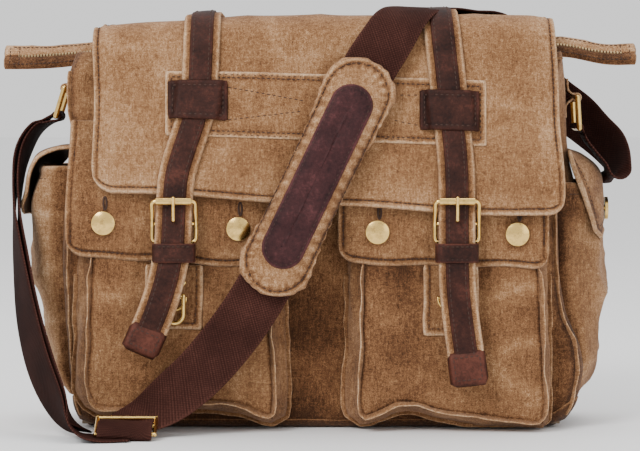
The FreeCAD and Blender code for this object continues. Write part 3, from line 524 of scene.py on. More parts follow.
class Graph:
    """Short names for building a shader graph."""

    def __init__(self, name):
        self.material = bpy.data.materials.new(name)
        self.material.use_nodes = True
        self.tree = self.material.node_tree
        self.tree.nodes.clear()
        self.out = self.add("ShaderNodeOutputMaterial")
        self.shader = self.add("ShaderNodeBsdfPrincipled")
        self.link(self.shader.outputs[0], self.out.inputs[0])

    def add(self, kind, **values):
        node = self.tree.nodes.new(kind)
        for key, value in values.items():
            setattr(node, key, value)
        return node

    def link(self, a, b):
        self.tree.links.new(a, b)

    def place(self):
        return self.add("ShaderNodeTexCoord").outputs["Object"]

    def noise(self, vector, scale, detail=3.0, rough=0.55):
        node = self.add("ShaderNodeTexNoise")
        self.link(vector, node.inputs["Vector"])
        node.inputs["Scale"].default_value = scale
        node.inputs["Detail"].default_value = detail
        node.inputs["Roughness"].default_value = rough
        return node.outputs["Fac"]

    def stretched(self, vector, scale):
        node = self.add("ShaderNodeVectorMath", operation="MULTIPLY")
        self.link(vector, node.inputs[0])
        node.inputs[1].default_value = scale
        return node.outputs[0]

    def math(self, how, a, b=None, clamp=False):
        node = self.add("ShaderNodeMath", operation=how, use_clamp=clamp)
        for slot, value in zip(node.inputs, (a, b)):
            if value is None:
                continue
            if isinstance(value, (int, float)):
                slot.default_value = value
            else:
                self.link(value, slot)
        return node.outputs[0]

    def ramp(self, fac, stops):
        node = self.add("ShaderNodeValToRGB")
        elements = node.color_ramp.elements
        while len(elements) < len(stops):
            elements.new(0.5)
        for element, (at, colour) in zip(elements, stops):
            element.position = at
            element.color = (*colour, 1)
        self.link(fac, node.inputs[0])
        return node.outputs[0]

    def bump(self, height, strength, distance, normal=None):
        node = self.add("ShaderNodeBump")
        node.inputs["Strength"].default_value = strength
        node.inputs["Distance"].default_value = distance
        self.link(height, node.inputs["Height"])
        if normal is not None:
            self.link(normal, node.inputs["Normal"])
        return node.outputs[0]

    def attribute(self, name):
        return self.add("ShaderNodeAttribute", attribute_name=name).outputs["Fac"]

    def uv(self):
        split = self.add("ShaderNodeSeparateXYZ")
        self.link(self.add("ShaderNodeUVMap", uv_map="metres").outputs[0], split.inputs[0])
        return split.outputs[0], split.outputs[1]

    def wave(self, x, period):
        return self.math("SINE", self.math("MULTIPLY", x, 2 * math.pi / period))

    def set(self, **values):
        for key, value in values.items():
            self.shader.inputs[key.replace("_", " ")].default_value = value
        return self.material


def spread(g, terms, start):
    """start plus each (value, amount, middle): the value, counted from its middle, times the amount."""
    total = start
    for value, amount, middle in terms:
        total = g.math("ADD", total, g.math("MULTIPLY", g.math("SUBTRACT", value, middle), amount))
    return total


def weave_height(g, period):
    """Plain weave: threads over and under, from the sheet's own lengths."""
    u, v = g.uv()
    a, b = g.wave(u, period), g.wave(v, period)
    return g.math("ADD", g.math("MULTIPLY", g.math("MULTIPLY", a, b), 0.5), 0.5)


def canvas(name, stops, lightness=0.0):
    g = Graph(name)
    at = g.place()
    broad, patch = g.noise(at, 14, 3), g.noise(at, 60, 4, 0.6)
    mottle, speck = g.noise(at, 420, 4, 0.7), g.noise(at, 1500, 2, 0.6)
    streak = g.noise(g.stretched(at, (1, 1, 0.15)), 750, 3, 0.6)
    slub = g.noise(g.stretched(at, (0.15, 0.15, 1)), 750, 3, 0.6)
    weave = weave_height(g, 0.0011)
    tone = g.attribute("tone")
    terms = [(broad, 0.3, 0.5), (patch, 0.3, 0.5), (mottle, 0.6, 0.5), (speck, 0.95, 0.5)]
    terms += [(streak, 0.42, 0.5), (slub, 0.22, 0.5), (weave, 0.16, 0.5), (tone, 0.34, 0.0)]
    fac = spread(g, terms, 0.5 + lightness)
    g.link(g.ramp(fac, stops), g.shader.inputs["Base Color"])
    rough = g.math("ADD", g.math("MULTIPLY", mottle, 0.12), 0.82)
    g.link(rough, g.shader.inputs["Roughness"])
    first = g.bump(weave, 0.4, 0.0003)
    threads = g.math("ADD", g.math("ADD", streak, slub), g.math("ADD", mottle, speck))
    second = g.bump(threads, 0.55, 0.0006, first)
    g.link(g.bump(patch, 0.55, 0.0022, second), g.shader.inputs["Normal"])
    return g.set(Sheen_Weight=0.08, Sheen_Roughness=0.5, Specular_IOR_Level=0.15)


CANVAS_STOPS = [
    (0.0, (0.030, 0.0110, 0.0035)),
    (0.22, (0.086, 0.034, 0.0125)),
    (0.45, (0.190, 0.087, 0.036)),
    (0.62, (0.290, 0.150, 0.068)),
    (0.82, (0.450, 0.268, 0.142)),
    (1.0, (0.610, 0.420, 0.265)),
]


def leather(name, dark, light):
    g = Graph(name)
    at = g.place()
    patch, scuff = g.noise(at, 60, 4, 0.6), g.noise(at, 420, 5, 0.75)
    cell = g.add("ShaderNodeTexVoronoi", feature="DISTANCE_TO_EDGE")
    cell.inputs["Scale"].default_value = 1100
    g.link(at, cell.inputs["Vector"])
    tone = g.attribute("tone")
    fac = spread(g, [(patch, 1.0, 0.5), (scuff, 1.1, 0.5), (tone, 0.45, 0.0)], 0.42)
    mixed = [tuple(a + (b - a) * t for a, b in zip(dark, light)) for t in (0, 0.25, 1)]
    colour = g.ramp(fac, [(0.1, mixed[0]), (0.5, mixed[1]), (1.0, mixed[2])])
    g.link(colour, g.shader.inputs["Base Color"])
    rough = g.math("ADD", g.math("MULTIPLY", scuff, 0.4), 0.3)
    g.link(rough, g.shader.inputs["Roughness"])
    edge = g.math("MINIMUM", g.math("MULTIPLY", cell.outputs["Distance"], 5.0), 1.0)
    first = g.bump(edge, 0.25, 0.0002)
    g.link(g.bump(g.math("ADD", scuff, patch), 0.45, 0.0008, first), g.shader.inputs["Normal"])
    return g.set(Specular_IOR_Level=0.13)


WEBBING_STOPS = [
    (0.0, (0.0080, 0.0026, 0.0018)),
    (0.45, (0.034, 0.0115, 0.0085)),
    (1.0, (0.125, 0.048, 0.035)),
]


def webbing(name):
    g = Graph(name)
    at = g.place()
    u, v = g.uv()
    cross = g.math("MULTIPLY", g.wave(u, 0.0024), g.wave(v, 0.0024))
    twill = g.wave(g.math("ADD", u, v), 0.0030)
    knots = g.math("ADD", g.math("MULTIPLY", cross, 0.35), g.math("MULTIPLY", twill, 0.06))
    fuzz, patch = g.noise(at, 900, 3, 0.7), g.noise(at, 45, 3)
    tone = g.attribute("tone")
    fac = spread(g, [(knots, 0.5, 0.0), (fuzz, 0.5, 0.5), (patch, 0.4, 0.5), (tone, 0.25, 0.0)], 0.45)
    g.link(g.ramp(fac, WEBBING_STOPS), g.shader.inputs["Base Color"])
    first = g.bump(knots, 0.8, 0.0006)
    g.link(g.bump(fuzz, 0.3, 0.0003, first), g.shader.inputs["Normal"])
    return g.set(Roughness=0.85, Specular_IOR_Level=0.08)


def metal(name, bright, dull, rough):
    g = Graph(name)
    at = g.place()
    patch, fine = g.noise(at, 190, 4, 0.6), g.noise(at, 1500, 3, 0.6)
    fac = spread(g, [(patch, 1.4, 0.5), (fine, 0.5, 0.5)], 0.6)
    g.link(g.ramp(fac, [(0.1, dull), (0.6, bright), (1.0, bright)]), g.shader.inputs["Base Color"])
    g.link(g.math("SUBTRACT", rough + 0.16, g.math("MULTIPLY", patch, 0.26)), g.shader.inputs["Roughness"])
    g.link(g.bump(fine, 0.12, 0.0002), g.shader.inputs["Normal"])
    return g.set(Metallic=1.0)


def plain_cloth(name, dark, light, period, rough=0.8):
    g = Graph(name)
    at = g.place()
    weave = weave_height(g, period)
    patch, fine = g.noise(at, 60, 4), g.noise(at, 700, 3)
    fac = spread(g, [(weave, 0.5, 0.5), (patch, 0.7, 0.5), (fine, 0.5, 0.5)], 0.5)
    g.link(g.ramp(fac, [(0.0, dark), (1.0, light)]), g.shader.inputs["Base Color"])
    g.link(g.bump(g.math("ADD", weave, fine), 0.4, 0.0004), g.shader.inputs["Normal"])
    return g.set(Roughness=rough)


CANVAS = canvas("washed_canvas", CANVAS_STOPS)
CANVAS_DARK = canvas("washed_canvas_dark", CANVAS_STOPS, -0.2)
LINING = plain_cloth("cotton_lining", (0.05, 0.028, 0.016), (0.115, 0.068, 0.04), 0.0009)
LEATHER = leather("oiled_leather", (0.0105, 0.0034, 0.0024), (0.115, 0.036, 0.023))
LEATHER_PURPLE = leather("oiled_leather_patch", (0.015, 0.0045, 0.0052), (0.120, 0.038, 0.038))
WEBBING = webbing("cotton_webbing")
BRASS = metal("antique_brass", (0.78, 0.52, 0.17), (0.30, 0.17, 0.05), 0.2)
ZIP_METAL = metal("zip_metal", (0.30, 0.21, 0.11), (0.10, 0.066, 0.034), 0.38)
THREAD = plain_cloth("dark_thread", (0.018, 0.0065, 0.0032), (0.060, 0.024, 0.012), 0.0008)
BOARD = plain_cloth("base_board_fibre", (0.12, 0.085, 0.055), (0.24, 0.17, 0.11), 0.002)

# Body of the bag ----------------------------------------------------------------------------------

# Half sizes of the body: heights, and the distance from its middle plane at each
BODY_SIZES = {
    "left": ([0, 6, 18, 60, 120, 190, 215, 250, 280], [171, 178, 182, 186, 187, 184, 180.5, 179.5, 178]),
    "right": ([0, 6, 18, 60, 120, 180, 212, 250, 280], [172, 180, 186, 191, 191, 186, 182.4, 181, 178]),
    "front": ([0, 6, 18, 80, 150, 220, 262, 280], [45, 51, 54, 56.5, 56.5, 54.5, 54, 52]),
    "back": ([0, 6, 18, 80, 150, 220, 256, 280], [45, 51, 55, 59, 58, 54.5, 53.4, 50]),
}
BODY_RADIUS, BODY_THICK = 13.0, 2.2
BODY_PANELS = [
    ("body_front", "front_panel"),
    ("body_right_gusset", "right_gusset"),
    ("body_back", "back_panel"),
    ("body_left_gusset", "left_gusset"),
]


def body_sizes(z):
    """Left, right, front and back half sizes of the body at height z."""
    return [curve(z, *sizes) for sizes in BODY_SIZES.values()]


PER_CORNER, PER_FRONT, PER_SIDE = 6, 110, 34
CORNER_SHIFTS = {
    "left": ([0, 190, 215, 235, 258, 270, 280], [0, 0, 2.5, 6.5, 7.5, 5, 1]),
    "right": ([0, 40, 60, 85, 120, 190, 215, 250, 268, 280], [0, 0, -3, -12, -16, -14, -11, -8, -3, 0]),
}
CORNER_STARTS = {"left": -32, "right": -22}


def corner_shift(side, y, z):
    """How much further out the body's front corner is than the rest of its side."""
    start = CORNER_STARTS[side]
    return curve(z, *CORNER_SHIFTS[side]) * smooth(start, start - 20, y)


def body_ring(z, inset=0.0):
    """Closed rings round the body at heights z, from the front left seam, and where its panels start."""
    z = np.asarray(z, float)[:, None]
    left, right, front, back = [size - inset for size in body_sizes(z)]
    r = max(BODY_RADIUS - inset, 4.0)

    def arc(cx, cy, a0, a1):
        a = np.radians(np.linspace(a0, a1, PER_CORNER + 1))[None, :-1]
        return np.stack(np.broadcast_arrays(cx + r * np.cos(a), cy + r * np.sin(a), z), -1)

    def straight(x0, y0, x1, y1, n):
        t = np.linspace(0, 1, n + 1)[None, :-1]
        return np.stack(np.broadcast_arrays(x0 + (x1 - x0) * t, y0 + (y1 - y0) * t, z), -1)

    lx, rx, fy, by = -left + r, right - r, -front + r, back - r
    parts = [
        arc(lx, fy, 225, 270),
        straight(lx, -front, rx, -front, PER_FRONT),
        arc(rx, fy, 270, 315),
        arc(rx, fy, 315, 360),
        straight(right, fy, right, by, PER_SIDE),
        arc(rx, by, 0, 45),
        arc(rx, by, 45, 90),
        straight(rx, back, lx, back, PER_FRONT),
        arc(lx, by, 90, 135),
        arc(lx, by, 135, 180),
        straight(-left, by, -left, fy, PER_SIDE),
        arc(lx, fy, 180, 225),
    ]
    starts = np.cumsum([0] + [p.shape[1] for p in parts])
    ring = np.concatenate(parts, 1)
    for side, sign in SIGNS.items():
        near = smooth(120, 165, sign * ring[..., 0])
        ring[..., 0] += sign * near * corner_shift(side, ring[..., 1], ring[..., 2])
    return ring, starts[::3]


def crumple(p, n, amount=1.0):
    """Moves points of the body along their normals: broad sag, creases and fine unevenness."""
    z = p[..., 2]
    side = smooth(120, 175, np.abs(p[..., 0]))
    free = smooth(0, 30, z) * (1 - 0.6 * smooth(240, 268, z)) * (1 - 0.75 * side * smooth(178, 204, z))
    broad = 2.0 * noise(p, 95, 1) + 0.9 * noise(p, 38, 2)
    q = p * np.array([1.0, 1.0, 0.55])
    creases = 2.6 * (folds(q, 46, 3) - 0.3) * (0.35 + 0.9 * side)
    creases = creases + (folds(q, 21, 4) - 0.3) * (0.4 + 0.6 * side)
    fine = 0.35 * noise(p, 9, 5)
    return p + n * (amount * free * (broad + creases + fine))[..., None]


def ring_normals(ring):
    run = np.roll(ring, -1, axis=1) - np.roll(ring, 1, axis=1)
    return unit(np.stack([run[..., 1], -run[..., 0], np.zeros(run.shape[:2])], -1))


def build_body():
    z = np.concatenate([[1.0, 3.0, 6.0], np.arange(10, 266, 4.0), [268.0, 272.0, 276.0]])
    ring, starts = body_ring(z)
    normal = ring_normals(ring)
    ring = crumple(ring, normal)
    # the top shoulder turns in over the zip
    y = ring[..., 1].copy()
    ring[..., 1] = y - np.sign(y) * 9.0 * smooth(262, 278, z)[:, None] * smooth(30, 50, np.abs(y))
    tone = 0.5 * (folds(ring, 30, 6) - 0.4) - 0.4 * smooth(26, 4, ring[..., 2]) - 0.15
    # painted shade on the front below the flap, between and behind the pockets
    tone = tone - 0.65 * smooth(150, 70, ring[..., 2]) * (ring[..., 1] < -40)
    outer, inner, tones = [np.concatenate([g, g[:, :1]], 1) for g in (ring, ring - normal * BODY_THICK, tone)]
    for (name, node), a, b in zip(BODY_PANELS, starts, starts[1:]):
        cut = slice(a, b + 1)
        edge = np.minimum(np.arange(b + 1 - a), np.arange(b + 1 - a)[::-1])
        dark = -0.55 * np.exp(-((edge - 1.0) ** 2) / 2.0)[None]
        obj = skin(name, outer[:, cut], inner[:, cut], [CANVAS, LINING], tones[:, cut] + dark, 0.4)
        place(obj, "bag", "canvas", [node])
    # raw seams stand out at the four corners
    keep = (z > 8) & (z < 268)
    for k, at in enumerate(starts[:4]):
        line, out = outer[keep, at], normal[keep, at]
        seam = fin(f"body_corner_seam_{k + 1}", line, out, 2.8, 1.7, 0.8, 10 + k, wear_and_shade=0.35)
        place(seam, "bag", "canvas")
    build_base()
    build_lining()


def build_base():
    """Base panel: a tray whose ends rise up the sides as dark corner patches."""
    levels = np.array([0.5, 3.0, 6.0, 10.0, 15.0, 20.0, 26.0, 32.0])
    side, _ = body_ring(levels, -0.9)
    side = crumple(side, ring_normals(side))
    count = side.shape[1]

    def ring_at(z):
        x, y = [np.array([np.interp(z[k], levels, side[:, k, i]) for k in range(count)]) for i in (0, 1)]
        return stack(x, y, z)

    end = smooth(150, 176, np.abs(side[0, :, 0]))
    top = 7.0 + 17.0 * end + 0.9 * noise(side[0], 24, 8)
    rings = [ring_at(top * share) for share in (1.0, 0.97, 0.85, 0.7, 0.55, 0.4, 0.25)]
    rings[0] = rings[0] - ring_normals(rings[0][None])[0] * 1.2
    for z, inset in ((0.7, 1.2), (0.2, 4.0), (0.25, 9.0)):
        ring, _ = body_ring([0.5], inset)
        ring[0][:, 2] = z
        rings.append(ring[0])
    last = rings[-1]
    for share in (0.8, 0.55, 0.3, 0.1):
        shrunk = last * np.array([share, share, 1.0])
        shrunk[:, 2] = 0.5 + 0.9 * (1 - share)
        rings.append(shrunk)
    rings = np.array(rings)
    rings[..., 2] = np.maximum(rings[..., 2], 0.05)
    # a worn rim, and the rest dark
    tones = np.full(rings.shape[:2], -0.5)
    tones[:3] = np.array([0.3, 0.5, -0.45])[:, None]
    obj = loft("body_base", rings, CANVAS_DARK, tones, cap_end=True)
    place(obj, "bag", "canvas", ["base_panel"])


def build_lining():
    z = np.arange(8, 264, 8.0)
    ring, _ = body_ring(z, 4.4)
    n = ring_normals(ring)
    ring = crumple(ring, n, 0.85) - n * (0.6 + 0.9 * folds(ring, 24, 30))[..., None]
    low = [ring[0] * np.array([k, k, 1.0]) for k in (0.05, 0.3, 0.6, 0.85, 0.97)]
    for r in low:
        r[:, 2] = 7.2
    whole = np.concatenate([np.array(low), ring], 0)
    obj = loft("lining_shell", whole, LINING, None, cap_start=True)
    place(obj, "bag", "lining", ["lining"])


# Zip ----------------------------------------------------------------------------------------------

ZIP_END, ZIP_MOUTH, ZIP_SHUT, ZIP_Z, ZIP_TOOTH = 165.0, 20.0, 4.2, 270.5, 2.4
FACING_COLUMNS = 16
# The closed ends, which droop by start + slope * t + wave * sin(rate * t)
WINGS = {
    "left": {"length": 66.5, "half": (10.2, 1.2), "droop": (0.0, -3.5, -1.5, math.pi)},
    "right": {"length": 65.0, "half": (9.2, 0.8), "droop": (4.0, -6.0, 1.2, 7.0)},
}


def zip_y(x):
    """Distance of the open zip's edge from the middle line."""
    return ZIP_SHUT + (ZIP_MOUTH - ZIP_SHUT) * (1 - (x / ZIP_END) ** 2)


def build_zip():
    x = np.linspace(-ZIP_END - 12, ZIP_END + 12, 120)
    xs = np.clip(x, -ZIP_END, ZIP_END)
    inner = zip_y(xs)
    for side, name in ((-1, "front"), (1, "back")):
        cols = []
        for t in np.linspace(0, 1, FACING_COLUMNS):
            y = inner + (44.5 - inner) * t
            z = 272.6 + 6.0 * np.sin(math.pi * min(1, t * 1.05)) * (1 - 0.45 * (xs / ZIP_END) ** 2)
            cols.append(stack(x, side * y, z))
        top = np.stack(cols, 1)
        n = grid_normals(top, (0, 0, 1))
        top = top + n * (0.7 * noise(top, 22, 40) + 1.1 * (folds(top, 30, 41) - 0.4))[..., None]
        tone = np.where(np.arange(FACING_COLUMNS) < 2, -0.5, 0.1)[None] + 0.3 * noise(top, 12, 43)
        obj = skin(f"zip_facing_{name}", top, top - n * 1.8, CANVAS, tone, 0.3)
        place(obj, "bag", "canvas", ["zip_facings"] if side < 0 else [])
        build_teeth(side, name)
        sew(f"zip_stitches_{name}", [raised(top[:, 2], n[:, 2], 0.15)], "bag")
    for side in SIGNS:
        build_wing(side)


def blocks(name, corners):
    """Small metal blocks, each from the four corners of one face and the four opposite them."""
    faces = []
    for b in range(0, len(corners), 8):
        faces += [[b, b + 1, b + 2, b + 3], [b + 7, b + 6, b + 5, b + 4]]
        faces += [[b + i, b + 4 + i, b + 4 + (i + 1) % 4, b + (i + 1) % 4] for i in range(4)]
    obj = make(name, corners, faces, ZIP_METAL, flat=True)
    fix_normals(obj)
    return obj


def build_teeth(side, name):
    """One row of metal teeth, each a small wedge clamped on the tape's edge."""
    pitch, corners = 2.5, []
    for k in range(int(2 * ZIP_END / pitch) - 1):
        x = -ZIP_END + pitch * (k + 0.75 + 0.25 * side)
        y = zip_y(x) * side
        for z in (ZIP_Z - 0.2, ZIP_Z + 2.6):
            for dx, dy in ((-0.8, 0.6), (-0.45, -ZIP_TOOTH), (0.45, -ZIP_TOOTH), (0.8, 0.6)):
                corners.append((x + dx, y + dy * side, z - (0.5 if (dy < 0 and z > ZIP_Z) else 0)))
    obj = blocks(f"zip_teeth_{name}", corners)
    bevel = obj.modifiers.new("soft_edges", "BEVEL")
    bevel.width, bevel.segments = 0.00018, 1
    place(obj, "bag", "zip_metal", ["zip_teeth"] if side < 0 else [])


def build_wing(side):
    """Closed end of the zip: a flat canvas strip past the side of the bag, with a stitched end."""
    sign, spec = SIGNS[side], WINGS[side]
    t, across = np.linspace(0, 1, 40), np.linspace(-1, 1, 15)
    x = ZIP_END + 4 + spec["length"] * t
    start, slope, wave, rate = spec["droop"]
    droop = start + slope * t + wave * np.sin(rate * t)
    half = (spec["half"][0] + spec["half"][1] * t)[:, None]
    tilt = math.radians(50)
    y = -4 + half * across[None] * math.cos(tilt) + 1.2 * np.sin(5 * t)[:, None]
    z = 277 + droop[:, None] + half * across[None] * math.sin(tilt)
    p = stack(sign * x[:, None], y, z)
    n = grid_normals(p, (0, -math.sin(tilt), math.cos(tilt)))
    swell = 1.9 * (1 - across[None] ** 2) ** 0.5 * (1 - 0.5 * np.exp(-((across[None] * 7) ** 2)))
    rough = 0.5 * noise(p, 14, 50 + sign) + 0.9 * (folds(p, 18, 51 + sign) - 0.4)
    top = p + n * (swell + rough)[..., None]
    low = p - n * (1.2 + 0.6 * (1 - across[None] ** 2))[..., None]
    tone = np.where(across > 0.1, 0.45, np.where(across > -0.12, -1.0, -0.9))[None] + 0.25 * noise(p, 9, 52)
    tone = tone + 0.5 * smooth(0.9, 1, t)[:, None]
    obj = skin(f"zip_wing_{side}", top, low, CANVAS, tone, 0.5)
    place(obj, "bag", "canvas", shared(side, "zip_end_tabs"))
    # closed teeth show as a row of ridges along the middle
    corners = []
    row, _ = walk((top[:, 7] + n[:, 7] * 0.15)[2:34], 2.3)
    for cx, cy, cz in row:
        for dz in (-0.7, 0.5):
            for dx, dy in ((-0.65, -1.25), (0.65, -1.25), (0.65, 1.25), (-0.65, 1.25)):
                corners.append((cx + dx, cy + dy * 0.75, cz + dz + dy * 0.6 + 0.3))
    place(blocks(f"zip_wing_teeth_{side}", corners), "bag", "zip_metal")
    inner = slice(2, 37)
    runs = [raised(top[inner, k], n[inner, k], 0.2) for k in (2, 12)]
    runs += [raised(top[k, 2:13], n[k, 2:13], 0.2) for k in (33, 37)]
    sew(f"zip_wing_stitches_{side}", runs, "bag")


# Main flap and what lies on it --------------------------------------------------------------------

FLAP_X = (-165.0, 175.0)
FLAP_LOW = (176.0, 158.0)
FLAP_CORNERS = (17.0, 12.0)
FLAP_START = 2.0
HEM_STITCH = 3.7


def drape(x, s, z):
    """(distance out, rise) that all layers of the front share at width x and arc length s."""
    x, s, z = np.broadcast_arrays(np.asarray(x, float), np.asarray(s, float), np.asarray(z, float))
    q = stack(x, s, np.zeros_like(x))
    low = smooth(178, 205, z)
    clear = 1 - bell(x, BUCKLE_X["left"], 26) - bell(x, BUCKLE_X["right"], 26)
    hold = np.maximum(low, np.clip(clear, 0, 1) * smooth(120, 165, z))
    sag = 1.3 * noise(q, 80, 60) + 0.55 * noise(q, 30, 61)
    sag = sag + 1.3 * (folds(q * np.array([1, 0.5, 1]), 52, 62) - 0.35)
    out = smooth(30, 60, s) * hold * sag
    rise = curve(x, [-175, -150, -100, 0, 90, 150, 180], [-6.5, -2.5, 1.0, 4.0, 5.0, 4.0, -1.0])
    rise = (rise + 1.0 * noise(q, 45, 63)) * smooth(215, 300, z) * smooth(34, 75, s)
    return out, rise


def on_flap(x, s, d):
    """Points of the layer at distance d from the flap line."""
    _, z0 = FLAP.at(s, 0)
    out, rise = drape(x, s, z0)
    y, z = FLAP.at(s, np.asarray(d, float) + out)
    return stack(x, y, z + rise)


def hem_height(edge):
    """Turned and stitched hem: raised at the rim, drawn in along the stitches."""
    return 0.6 * bell(edge, 1.2, 1.3) - 0.7 * bell(edge, HEM_STITCH, 0.9)


# Pale rubbed rim, and painted shade in the groove that the stitches draw in.
def hem_tone(edge):
    return 0.75 * bell(edge, 0.3, 0.7) - 0.95 * bell(edge, HEM_STITCH, 0.9)


def flap_side(z):
    """Left and right edges of the flap at height z."""
    left = FLAP_X[0] + 0.8 * np.sin(z / 17)
    right = curve(z, [150, 176, 230, 290, 310], [176.5, 176, 173, 170, 170]) + 0.6 * np.sin(z / 13)
    return left, right


def round_low_corners(low, x, edges, radii):
    """A low edge, given at each x, raised to arcs at its two ends."""
    for x_edge, radius in zip(edges, radii):
        near = np.clip(radius - np.abs(x - x_edge), 0, radius)
        low = low + radius - np.sqrt(np.maximum(radius**2 - near**2, 0))
    return low


def build_flap():
    u = graded(340, 2.6)
    x_flat = FLAP_X[0] + (FLAP_X[1] - FLAP_X[0]) * u
    low = FLAP_LOW[0] + (FLAP_LOW[1] - FLAP_LOW[0]) * smooth(-0.15, 1.05, u) + 0.8 * np.sin(x_flat / 23)
    s_end = FLAP.s_of(round_low_corners(low, x_flat, FLAP_X, FLAP_CORNERS))
    t = graded(290, 2.5)[:, None]
    s = FLAP_START + (s_end[None] - FLAP_START) * t
    _, z = FLAP.at(s, 0)
    left, right = flap_side(z)
    x = left + (right - left) * u[None]
    to_low = (s_end[None] - s) * 0.98
    edge = np.minimum(np.minimum(x - left, right - x), to_low)
    puckers = np.sin(stack(x, s, 0)[..., 0] * 0.66 + 2 * noise(stack(x, s, 0), 9, 64)) * 0.35
    hem = hem_height(edge) + puckers * bell(edge, 5.5, 5)
    outer, inner = on_flap(x, s, FLAP_OUTER + hem), on_flap(x, s, FLAP_INNER + 1.6 * np.exp(-edge / 4))
    tone = hem_tone(edge) + 0.35 * (folds(outer, 40, 65) - 0.35) + 0.2 * smooth(26, 8, edge) + 0.12
    # painted shade on the middle of the flap's lower part, where the shoulder pad shades it
    tone = tone - 0.22 * bell(x, -10, 70) * smooth(260, 225, z)
    obj = skin("main_flap_cloth", outer, inner, [CANVAS, LINING], tone, 0.35)
    place(obj, None, "canvas", ["main_flap", "flap_lining", "flap_back"], FLAP_BEND)

    def run(points_x, points_s):
        p = on_flap(points_x, points_s, FLAP_OUTER - 0.35)
        q = on_flap(points_x, points_s, FLAP_OUTER + 2)
        return p, q - p

    margin = HEM_STITCH
    side_s = 34 + (s_end.min() - 46) * np.linspace(0, 1, 130)
    _, side_z = FLAP.at(side_s, 0)
    left, right = flap_side(side_z)
    inside = (x_flat > FLAP_X[0] + margin) & (x_flat < FLAP_X[1] - margin)
    runs = [run(left + margin, side_s), run(right - margin, side_s)]
    runs.append(run(x_flat[inside], s_end[inside] - margin))
    runs.append(run(x_flat[inside], np.full(inside.sum(), 12.0)))
    sew("main_flap_stitches", runs, None, blend=FLAP_BEND)


def strap_x(side, s):
    """x of a closing strap's centre line at arc length s."""
    x, z = np.array(STRAPS[side][::-1], float).T
    _, height = FLAP.at(s, 0)
    height = np.where(np.asarray(s) < 110, np.maximum(height, 299), height)
    return curve(height, z, x)


def strap_lift(side, s, a):
    """How far the tail below the keeper stands off, turned at its end; a is the share across."""
    turn = 1 if side == "left" else -0.6
    low = STRAPS[side][-1][1]
    _, z = FLAP.at(s, 0)
    return smooth(low + 60, low - 6, z) * (2.6 - 2.2 * turn * a) * 0.9


def lay(name, side, half, layer, run, material, across, crown, edge_tone, shade=0.0, step=3.0):
    """Strip of even width along a closing strap, with the grids of its outer points and normals.

    layer is its inner and outer distance from the flap line, run its first and last arc length.
    """
    s = np.linspace(*run, max(3, int((run[1] - run[0]) / step)))
    x = strap_x(side, s)
    slope = np.gradient(x, s)
    nx, ns = 1 / np.sqrt(1 + slope**2), -slope / np.sqrt(1 + slope**2)
    a = np.linspace(-1, 1, across)[None]
    gx = x[:, None] + nx[:, None] * a * half
    gs = s[:, None] + ns[:, None] * a * half
    lift = strap_lift(side, gs, a)
    bulge = crown * (1 - a**2) + 0.12 * noise(stack(gx, gs, 0), 7, 70)
    top, low = on_flap(gx, gs, layer[1] + bulge + lift), on_flap(gx, gs, layer[0] + lift)
    # Pale rubbed edges; at the stitch line canvas gets painted shade, as in a groove, and leather a lighter
    # band that sets off the stitches.
    groove = -0.5 if material is CANVAS else 0.5
    tone = edge_tone * (smooth(0.86, 1.0, np.abs(a)) + groove * bell(np.abs(a), 0.76, 0.09))
    tone = tone + 0.3 * noise(top, 12, 71) + shade
    return skin(name, top, low, material, tone, edge_tone), top, unit(top - low)


def build_strap(side):
    s_end = float(FLAP.s_of(STRAPS[side][-1][1]))
    s_tip = s_end - TIP_LENGTH[side]
    layer, run = (STRAP_INNER, STRAP_OUTER), (SEAM_S, s_end)
    cloth, *_ = lay(f"{side}_strap_cloth", side, STRAP_HALF - 0.9, layer, run, CANVAS, 17, 0.3, 0.75)
    place(cloth, None, "canvas", shared(side, "flap_straps"), FLAP_BEND)
    layer, run = (STRAP_OUTER, LEATHER_OUTER), (SEAM_S, s_tip + 2)
    strip, top, n = lay(f"{side}_strap_leather", side, LEATHER_HALF, layer, run, LEATHER, 17, 0.35, 0.25)
    place(strip, None, "leather", shared(side, "strap_leathers"), FLAP_BEND)
    runs = [raised(top[:, k], n[:, k], 0.1) for k in (2, 14)]
    sew(f"{side}_strap_stitches", runs, None, "leather", (2.6, 3.6, 0.45), FLAP_BEND)
    # leather cap folded round the end
    layer, run = (STRAP_INNER - 1.3, LEATHER_OUTER + 0.2), (s_tip, s_end)
    tip, top, n = lay(
        f"{side}_strap_tip", side, STRAP_HALF - 1.7, layer, run, LEATHER, 13, 0.5, 0.3, shade=0.65, step=2.0
    )
    place(tip, "main_flap", "leather", shared(side, "strap_tips"))

    def border(grid):
        last = len(grid) - 2
        return [grid[1 : last + 1, 1], grid[last, 1:12], grid[last:0:-1, 11], grid[1, 11:0:-1]]

    runs = [raised(p, out, 0.05) for p, out in zip(border(top), border(n))]
    sew(f"{side}_tip_stitches", runs, "main_flap", "leather", (2.6, 3.6, 0.45))


